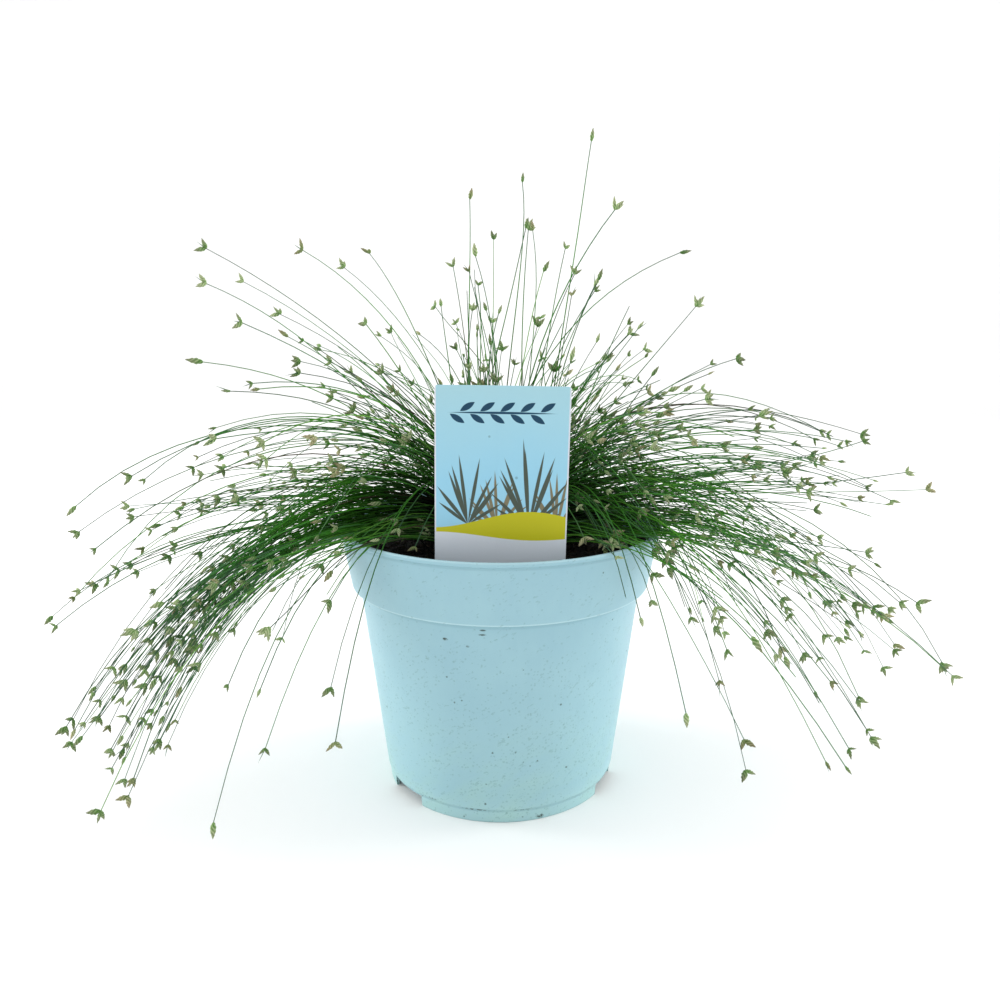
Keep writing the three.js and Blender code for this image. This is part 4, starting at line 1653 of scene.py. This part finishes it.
def stem_start(sheaf, low, chance):
    """Where a stem leaves the crown, and its arch: 0 for one that starts far out, 1 for far in and tall."""
    arch = 0.0 if low else chance.random() ** FAR_OUT
    if low:
        share = chance.uniform(*FORWARD_STARTS)
    else:
        share = 1.0 - FARTHER_IN * arch + chance.uniform(*START_SCATTER)
    aside = outward(sheaf["azimuth"] + 90) * chance.gauss(0, ROOT_SCATTER)
    start = outward(sheaf["azimuth"]) * sheaf["ring"] * share + aside
    if low:
        start.y -= chance.uniform(*FORWARD) * MM
    start.z = crown_height(math.hypot(start.x, start.y)) - ROOT_DEPTH
    return start, arch


def stem_tip(sheaf, fan, leads, chance):
    """Where the arc ends: for the leading stem at the sheaf's end, and for others a little short of it."""
    height = sheaf["height"]
    shorten = 1.0 if leads else 1 - abs(chance.gauss(0, SHORTER))
    tip = outward(sheaf["azimuth"] + fan) * sheaf["reach"] * shorten
    shift = 0.0 if leads else abs(chance.gauss(0, SHIFTED)) * (height + SHIFT_DEPTH)
    tip.z = height + (shift if height < POT_HEIGHT else -shift)
    return tip


print("low sheaves end below", round(LOW_SHEAF / MM), "mm")

# %% Arc of a stem
LONGEST_STEPS = 16
FEWEST_STEPS = 7
# The least clearance over the rim, and how much more a stem that starts forward may have
LEAST_CLEARANCE = 1.2 * MM
LOW_LIFT = 3 * MM
# A stem whose tip is higher than this passes higher over the rim, too: by the first share of the
# difference, and by the second one as well where it arches most
LOW_TIP = 25.0 * MM
HIGHER = (0.05, 0.23)
# The first pull of a stem swerves less than the second, by this factor
EARLY_SWERVE = 0.5
# A stem sways to the sides by so many mm, in so many half waves
SWAY = 1.7
WAVES = (1.2, 3.2)


def stem_arc(sheaf, length, chance):
    """The points of one stem from the crown to its tip. A stem of full length keeps the sheaf's direction."""
    leads = length == 1.0
    fan = 0.0 if leads else sheaf["turn"] + chance.gauss(0, sheaf["fan"])
    low = lies_low(sheaf, chance)
    start, arch = stem_start(sheaf, low, chance)
    tip = stem_tip(sheaf, fan, leads, chance)
    if sheaf["over_rim"]:
        growth = (HIGHER[0] + HIGHER[1] * arch) * max(tip.z - LOW_TIP, 0.0)
        lift = LOW_LIFT * chance.random() if low else sheaf["lift"] * arch + growth
        near_pull, far_pull = rim_arc(start, tip, LEAST_CLEARANCE + lift, chance)
    else:
        near_pull, far_pull = upright_arc(start, tip, chance)
    aside = outward(sheaf["azimuth"] + 90)
    near_pull += aside * chance.gauss(0, EARLY_SWERVE * sheaf["swerve"]) * MM
    far_pull += aside * chance.gauss(0, sheaf["swerve"]) * MM
    sideways = outward(sheaf["azimuth"] + fan + 90)
    sway = chance.gauss(0, SWAY) * MM
    waves = chance.uniform(*WAVES)
    phase = chance.uniform(0, 2 * math.pi)
    steps = max(FEWEST_STEPS, round(LONGEST_STEPS * length))
    path = []
    for step in range(steps + 1):
        share = length * step / steps
        at_start, at_near, at_far, at_tip = cubic_shares(share)
        point = start * at_start + near_pull * at_near + far_pull * at_far + tip * at_tip
        swing = math.sin(phase + waves * math.pi * share) - math.sin(phase)
        path.append(point + sideways * sway * swing * share)
    return path, sideways


print("points on a whole stem:", LONGEST_STEPS + 1)

# %% One stem
STEM_SIDES = 5
STEM_TRIES = 30
# Radius at the root in mm, and the share of it that is lost towards the tip
STEM_THICKNESS = (0.21, 0.32)
STEM_TAPER = 0.35
DRY_STEMS = 0.05
# Mean and spread of the stems' tones, and the range of the heads'
STEM_TONES = (0.3, 0.22)
HEAD_TONES = (0.2, 0.7)
# The share of stems with a seed head: the first number, and more by the second times the length
HEADED = (0.3, 0.65)


def add_stem(mesh, sheaf, length, chance):
    """Adds one stem and mostly its seed head. Returns False where no clear way was found for it."""
    for _ in range(STEM_TRIES):
        path, sideways = stem_arc(sheaf, length, chance)
        if way_is_clear(path[1:]):
            break
    else:
        return False
    steps = len(path) - 1
    tone = min(1.0, max(0.0, chance.gauss(*STEM_TONES)))
    finish = DRY if chance.random() < DRY_STEMS else GREEN
    thick = chance.uniform(*STEM_THICKNESS) * MM
    ahead = (path[-1] - path[-2]).normalized()
    path.append(path[-1] + ahead * MM)
    radii = [thick * (1 - STEM_TAPER * step / steps) for step in range(steps + 1)] + [0.0]
    mesh.tube(path, radii, STEM_SIDES, tone, finish, sideways)
    leads = length == 1.0
    if leads or chance.random() < HEADED[0] + HEADED[1] * length:
        add_seed_head(mesh, path[-2], ahead, sideways, chance, chance.uniform(*HEAD_TONES), leads)
    return True


print("stem sides:", STEM_SIDES)

# %% All the sheaves
# Lengths of the long and the short stems, as shares of their whole arc
LONG_STEMS = (0.68, 1.0)
SHORT_STEMS = (0.32, 0.72)


def make_sheaf(node, kind, count, long_share):
    """One sheaf as a piece, and its number of stems. The first stem is the longest and leads the others."""
    chance = random.Random(node)
    sheaf = sheaf_of(node, kind)
    growth = StrandMesh()
    grown = 0
    for stem in range(count):
        lengths = LONG_STEMS if chance.random() < long_share else SHORT_STEMS
        length = chance.uniform(*lengths) if stem else 1.0
        grown += add_stem(growth, sheaf, length, chance)
    name = node.replace("_stems", "_sheaf")
    return place_piece(name, growth.build(name), [node], SHEAF_FINISHES), grown


sheaves = []
stems_grown = 0
for layer, kind in SHEAVES.items():
    for number, (count, long_share) in enumerate(zip(kind["stems"], kind["long"]), 1):
        piece, grown = make_sheaf(f"{layer}_{number:02d}", kind, count, long_share)
        sheaves.append(piece)
        stems_grown += grown
        if grown < count:
            print(piece.name, "stems without a clear way:", count - grown)
print("stems:", stems_grown, "faces:", sum(len(piece.data.polygons) for piece in sheaves))

# %% [markdown]
# ## Plant label
# The label is a thin plastic card with a stake, pushed into the soil behind the rim. It is drawn flat, cut
# into strips so that it can bow a little, given its thickness by a Solidify modifier, and then leant in
# place. Its print is a plain design of its own: a blue sky, two fans of olive leaves with tan ones behind
# them, a yellow-green hill over a pale foot, and a dark blue sprig. A printed leaf is a node group too,
# placed once for each leaf.

# %% Printed leaf
# The edge of a leaf fades in between these distances from it, in mm
LEAF_BLUR = (-0.05, 0.08)


def make_printed_leaf():
    """A pointed leaf on the card: a mask that is 1 inside a lens of a given length, width, place and tilt."""
    inputs = [
        ("Across", FLOAT, 0.0),
        ("Up", FLOAT, 0.0),
        ("Middle Across", FLOAT, 0.0),
        ("Middle Up", FLOAT, 0.0),
        ("Tilt", FLOAT, 0.0),
        ("Length", FLOAT, 10.0),
        ("Width", FLOAT, 3.0),
    ]
    group, read, feed = new_group("printed_leaf", inputs, [("Mask", FLOAT)])
    right = calc(group, "SUBTRACT", read["Across"], read["Middle Across"])
    over = calc(group, "SUBTRACT", read["Up"], read["Middle Up"])
    cosine = calc(group, "COSINE", read["Tilt"])
    sine = calc(group, "SINE", read["Tilt"])
    lifted = calc(group, "MULTIPLY", over, sine)
    across = calc(group, "SUBTRACT", calc(group, "MULTIPLY", right, cosine), lifted)
    along = calc(group, "MULTIPLY_ADD", right, sine, calc(group, "MULTIPLY", over, cosine))
    share = calc(group, "DIVIDE", calc(group, "MULTIPLY", along, 2.0), read["Length"])
    bulge = calc(group, "SUBTRACT", 1.0, calc(group, "MULTIPLY", share, share))
    half = calc(group, "MULTIPLY", calc(group, "MULTIPLY", read["Width"], 0.5), bulge)
    inside = calc(group, "SUBTRACT", half, calc(group, "ABSOLUTE", across))
    group.links.new(fit_range(group, inside, *LEAF_BLUR), feed["Mask"])
    return group


PRINTED_LEAF = make_printed_leaf()
print("group:", PRINTED_LEAF.name)

# %% Printed fans and sprig
# The printed fans of leaves: the foot of the fan across and up in mm, how many leaves, their spread in
# degrees, how long they are in the middle and at the sides, and how wide
OLIVE_FANS = [
    {"foot": (-12.5, 126.0), "leaves": 12, "spread": 52, "lengths": (28.0, 14.0), "width": 1.3},
    {"foot": (10.5, 124.5), "leaves": 15, "spread": 58, "lengths": (34.0, 15.0), "width": 1.4},
]
TAN_FANS = [
    {"foot": (-1.5, 124.5), "leaves": 11, "spread": 62, "lengths": (22.0, 12.0), "width": 1.2},
    {"foot": (21.0, 124.0), "leaves": 9, "spread": 50, "lengths": (23.0, 13.0), "width": 1.2},
]
# Each leaf of a fan is turned by up to so many degrees, and longer or shorter by up to so many mm, as sines
# of its number with these steps in radians
LEAF_TURN = 5
LEAF_UNEVEN = 2.5
TURN_STEP = 2.4
LENGTH_STEP = 3.1
# The sprig: its height, its line, and the number, spacing, height, tilt and size of its leaves
SPRIG_UP = 168.6
SPRIG_LINE = {"at": (0.0, SPRIG_UP), "tilt": 90, "size": (40.0, 0.9)}
SPRIG_LEAVES = 10
SPRIG_STEP = 3.7
SPRIG_GAP = 2.2
SPRIG_TILT = 58
SPRIG_LEAF = (6.4, 2.3)


def fan_leaves(fans):
    """The leaves of printed fans: each starts at the foot of its fan and is shorter towards the sides."""
    leaves = []
    for fan in fans:
        for number in range(fan["leaves"]):
            side = 2 * number / (fan["leaves"] - 1) - 1
            tilt = fan["spread"] * side + LEAF_TURN * math.sin(TURN_STEP * number)
            middle, outer = fan["lengths"]
            extra = LEAF_UNEVEN * math.sin(LENGTH_STEP * number)
            length = middle + (outer - middle) * abs(side) + extra
            across = fan["foot"][0] + 0.5 * length * math.sin(math.radians(tilt))
            up = fan["foot"][1] + 0.5 * length * math.cos(math.radians(tilt))
            leaves.append({"at": (across, up), "tilt": tilt, "size": (length, fan["width"])})
    return leaves


def sprig_leaves():
    """A level line with leaves that lean forwards, in turn below and above it."""
    sprig = [SPRIG_LINE]
    for leaf in range(SPRIG_LEAVES):
        side = 1 if leaf % 2 else -1
        across = (leaf - (SPRIG_LEAVES - 1) / 2) * SPRIG_STEP
        place = (across, SPRIG_UP + side * SPRIG_GAP)
        sprig.append({"at": place, "tilt": SPRIG_TILT * side, "size": SPRIG_LEAF})
    return sprig


print("leaves to print:", len(fan_leaves(OLIVE_FANS + TAN_FANS)) + SPRIG_LEAVES)

# %% Label print
CARD_HALF = 25.0 * MM
LABEL_SKY = colour(0.360, 0.600, 0.670)
LABEL_SKY_LOW = colour(0.290, 0.590, 0.760)
LABEL_HILL = colour(0.500, 0.480, 0.004)
LABEL_FOOT = colour(0.640, 0.680, 0.740)
LABEL_OLIVE = colour(0.060, 0.080, 0.060)
LABEL_TAN = colour(0.190, 0.170, 0.100)
LABEL_NAVY = colour(0.002, 0.045, 0.095)
# Heights in mm at which the sky is deepest, and around which the hill and the foot end
SKY_FOOT = 140.0
HILL_UP = 128.0
FOOT_UP = 121.5
# The sine of the hill's edge: radians for each mm across, radians at the middle, and its height in mm for
# the hill and for the foot
HILL_WAVE = (0.085, 0.6)
HILL_HEIGHT = 3.2
FOOT_DIP = -1.6
# How much the sky's patches deepen its colour
CLOUDS = 0.15
# The pale margins of the card, and over how much their edge fades in, in mm
MARGIN = 0.6
MARGIN_BLUR = 0.1
# A printed edge fades in between these distances from it, in mm
PRINT_BLUR = (-0.05, 0.1)


def leaves_mask(tree, across, up, leaves):
    """The joined mask of several printed leaves."""
    joined = None
    for leaf in leaves:
        values = {
            "Across": across,
            "Up": up,
            "Middle Across": leaf["at"][0],
            "Middle Up": leaf["at"][1],
            "Tilt": math.radians(leaf["tilt"]),
            "Length": leaf["size"][0],
            "Width": leaf["size"][1],
        }
        mask = use_group(tree, PRINTED_LEAF, values)["Mask"]
        joined = mask if joined is None else calc(tree, "MAXIMUM", joined, mask)
    return joined


def below_mask(tree, up, top):
    """A mask that is 1 on the card below a printed edge."""
    return fit_range(tree, calc(tree, "SUBTRACT", top, up), *PRINT_BLUR)


def print_front(tree, across, up, patches):
    """The print from back to front: sky, leaves, a hill, a pale foot, a sprig, and pale margins."""
    cloudy = calc(tree, "MULTIPLY", patches, CLOUDS)
    sky_share = calc(tree, "ADD", fit_range(tree, up, CARD_TOP, SKY_FOOT), cloudy)
    tint = blend_colours(tree, sky_share, LABEL_SKY, LABEL_SKY_LOW)
    wave = calc(tree, "SINE", calc(tree, "MULTIPLY_ADD", across, *HILL_WAVE))
    edge = calc(tree, "ABSOLUTE", across)
    half = CARD_HALF / MM
    layers = [
        (leaves_mask(tree, across, up, fan_leaves(TAN_FANS)), LABEL_TAN),
        (leaves_mask(tree, across, up, fan_leaves(OLIVE_FANS)), LABEL_OLIVE),
        (below_mask(tree, up, calc(tree, "MULTIPLY_ADD", wave, HILL_HEIGHT, HILL_UP)), LABEL_HILL),
        (below_mask(tree, up, calc(tree, "MULTIPLY_ADD", wave, FOOT_DIP, FOOT_UP)), LABEL_FOOT),
        (leaves_mask(tree, across, up, sprig_leaves()), LABEL_NAVY),
        (fit_range(tree, edge, half - MARGIN, half - MARGIN + MARGIN_BLUR), LABEL_FOOT),
    ]
    for mask, ink in layers:
        tint = blend_colours(tree, mask, tint, ink)
    return tint


print("printed width in mm:", round(2 * (CARD_HALF / MM - MARGIN), 1))

# %% Label finish
LABEL_BACK = colour(0.520, 0.640, 0.680)
# How far the surface has to face backwards to be the card's back: from the first value on, and fully so
# from the second
FACING_BACK = (0.1, 0.2)
SPECK_STRENGTH = 0.4
LABEL_ROUGHNESS = (0.30, 0.42)
LABEL_SHINE = 0.3
# The depth of the card's texture in mm
LABEL_RELIEF = 0.012


def finish_label():
    """Printed plastic: the print on its front, a bare pale back, and a few specks of soil on both."""
    material, tree, shader = new_material("label_card")
    where = position_of(tree)
    part = put(tree, "ShaderNodeSeparateXYZ", {"Vector": where}).outputs
    across = calc(tree, "MULTIPLY", part["X"], PER_MM)
    up = calc(tree, "MULTIPLY", part["Z"], PER_MM)
    mottle = use_group(tree, MOTTLE, {"Position": where, "Broad Size": 18.0, "Fine Size": 0.5})
    tint = print_front(tree, across, up, mottle["Patches"])
    normal = put(tree, "ShaderNodeNewGeometry").outputs["Normal"]
    facing = put(tree, "ShaderNodeSeparateXYZ", {"Vector": normal}).outputs["Y"]
    tint = blend_colours(tree, fit_range(tree, facing, *FACING_BACK), tint, LABEL_BACK)
    values = {"Position": where, "Spacing": 5.0, "Amount": 0.12, "Size": 0.10}
    worn = calc(tree, "MULTIPLY", use_group(tree, SPECKS, values)["Mask"], SPECK_STRENGTH)
    tree.links.new(blend_colours(tree, worn, tint, SOIL_STAIN), shader["Base Color"])
    tree.links.new(fit_range(tree, mottle["Grain"], 0.0, 1.0, *LABEL_ROUGHNESS), shader["Roughness"])
    raise_surface(tree, shader, mottle["Grain"], LABEL_RELIEF)
    shader["Specular IOR Level"].default_value = LABEL_SHINE
    return material


label_finish = finish_label()
print("label finish:", label_finish.name)

# %% Label outline
CARD_FOOT = 94.0 * MM
CARD_CORNER = 1.2 * MM
CARD_SHOULDER = 6.0 * MM
STAKE_HALF = 6.5 * MM
STAKE_TIP = 46.0 * MM
STAKE_POINT = 14.0 * MM
CORNER_STEPS = 6


def card_outline():
    """The card's edge: from the stake's tip up the right side, and down the left side as its mirror image."""
    top = CARD_TOP * MM
    right = [
        (STAKE_HALF, STAKE_TIP + STAKE_POINT),
        (STAKE_HALF, CARD_FOOT - CARD_SHOULDER),
        (CARD_HALF - CARD_SHOULDER, CARD_FOOT),
        (CARD_HALF, CARD_FOOT + CARD_SHOULDER),
        (CARD_HALF, top - CARD_CORNER),
    ]
    for step in range(1, CORNER_STEPS):
        angle = math.radians(90) * step / CORNER_STEPS
        x = CARD_HALF - CARD_CORNER * (1 - math.cos(angle))
        right.append((x, top - CARD_CORNER * (1 - math.sin(angle))))
    right.append((CARD_HALF - CARD_CORNER, top))
    left = [(-across, up) for across, up in reversed(right)]
    return [(0.0, STAKE_TIP)] + right + left


print("label length in mm:", round(CARD_TOP - STAKE_TIP / MM, 1))

# %% Label
CARD_THICKNESS = 0.6 * MM
# How far the card stands in front of the pot's middle, at the soil
CARD_AHEAD = 50.0 * MM
# In degrees: the card turns a little in its own plane and leans forward
CARD_TURN = 0.9
CARD_LEAN = 2.5
CARD_BOW = 0.5 * MM
CARD_STRIPS = 20
# How wide the card's softened edges are, and how sharp an edge has to be to get softened
CARD_EDGE = 0.12 * MM
CARD_SHARP = math.radians(50)


def make_label():
    """The bowed and leaning card. Its modifiers give it thickness and soft edges."""
    shape = bmesh.new()
    corners = [shape.verts.new((across, 0.0, up)) for across, up in card_outline()]
    shape.faces.new(corners)
    for strip in range(1, CARD_STRIPS):
        across = CARD_HALF * (2 * strip / CARD_STRIPS - 1)
        geometry = list(shape.verts) + list(shape.edges) + list(shape.faces)
        bmesh.ops.bisect_plane(shape, geom=geometry, plane_co=(across, 0, 0), plane_no=(1, 0, 0))
    for corner in shape.verts:
        corner.co.y += CARD_BOW * (1 - (corner.co.x / CARD_HALF) ** 2) - CARD_BOW / 2
    mesh = bpy.data.meshes.new("plant_label")
    shape.to_mesh(mesh)
    shape.free()
    label = bpy.data.objects.new("plant_label", mesh)
    scene.collection.objects.link(label)
    thicken = label.modifiers.new("thicken", "SOLIDIFY")
    thicken.thickness = CARD_THICKNESS
    thicken.offset = 0.0
    soften = label.modifiers.new("soften", "BEVEL")
    soften.width = CARD_EDGE
    soften.segments = 2
    soften.angle_limit = CARD_SHARP
    label.data.materials.append(label_finish)
    lean = Matrix.Rotation(math.radians(CARD_LEAN), 4, "X") @ Matrix.Rotation(math.radians(CARD_TURN), 4, "Y")
    soil_level = Matrix.Translation((0, 0, SOIL_TOP))
    label.matrix_world = Matrix.Translation((0, -CARD_AHEAD, 0)) @ soil_level @ lean @ soil_level.inverted()
    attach(label, ROOT)
    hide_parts("label_card")
    return label


label = make_label()
print("label stands", round(CARD_TOP - POT_HEIGHT / MM), "mm above the rim")

# %% [markdown]
# ## Floor finish
# The floor is plain and pale, like a sheet of matt studio paper, with the faintest grain.

# %% Floor finish
PAPER = colour(0.90, 0.90, 0.90)
PAPER_WARM = colour(0.93, 0.93, 0.925)
PAPER_ROUGHNESS = (0.85, 0.95)


def finish_floor():
    """Matt paper, nearly white, with faint patches and grain."""
    material, tree, shader = new_material("studio_paper")
    where = position_of(tree)
    mottle = use_group(tree, MOTTLE, {"Position": where, "Broad Size": 400.0, "Fine Size": 3.0})
    tree.links.new(blend_colours(tree, mottle["Patches"], PAPER, PAPER_WARM), shader["Base Color"])
    tree.links.new(fit_range(tree, mottle["Grain"], 0.0, 1.0, *PAPER_ROUGHNESS), shader["Roughness"])
    return material


sweep.data.materials.append(finish_floor())
print("floor finish:", sweep.data.materials[0].name)

# %% [markdown]
# ## Size
# Both boxes are printed, the solid model's and the dressed plant's. Thin stems may stand a little out of the
# first.

# %% Sizes
low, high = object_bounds()
for name, size in (("solids", cad_high - cad_low), ("dressed", high - low)):
    print(name, "box in mm:", [round(side / MM) for side in size])
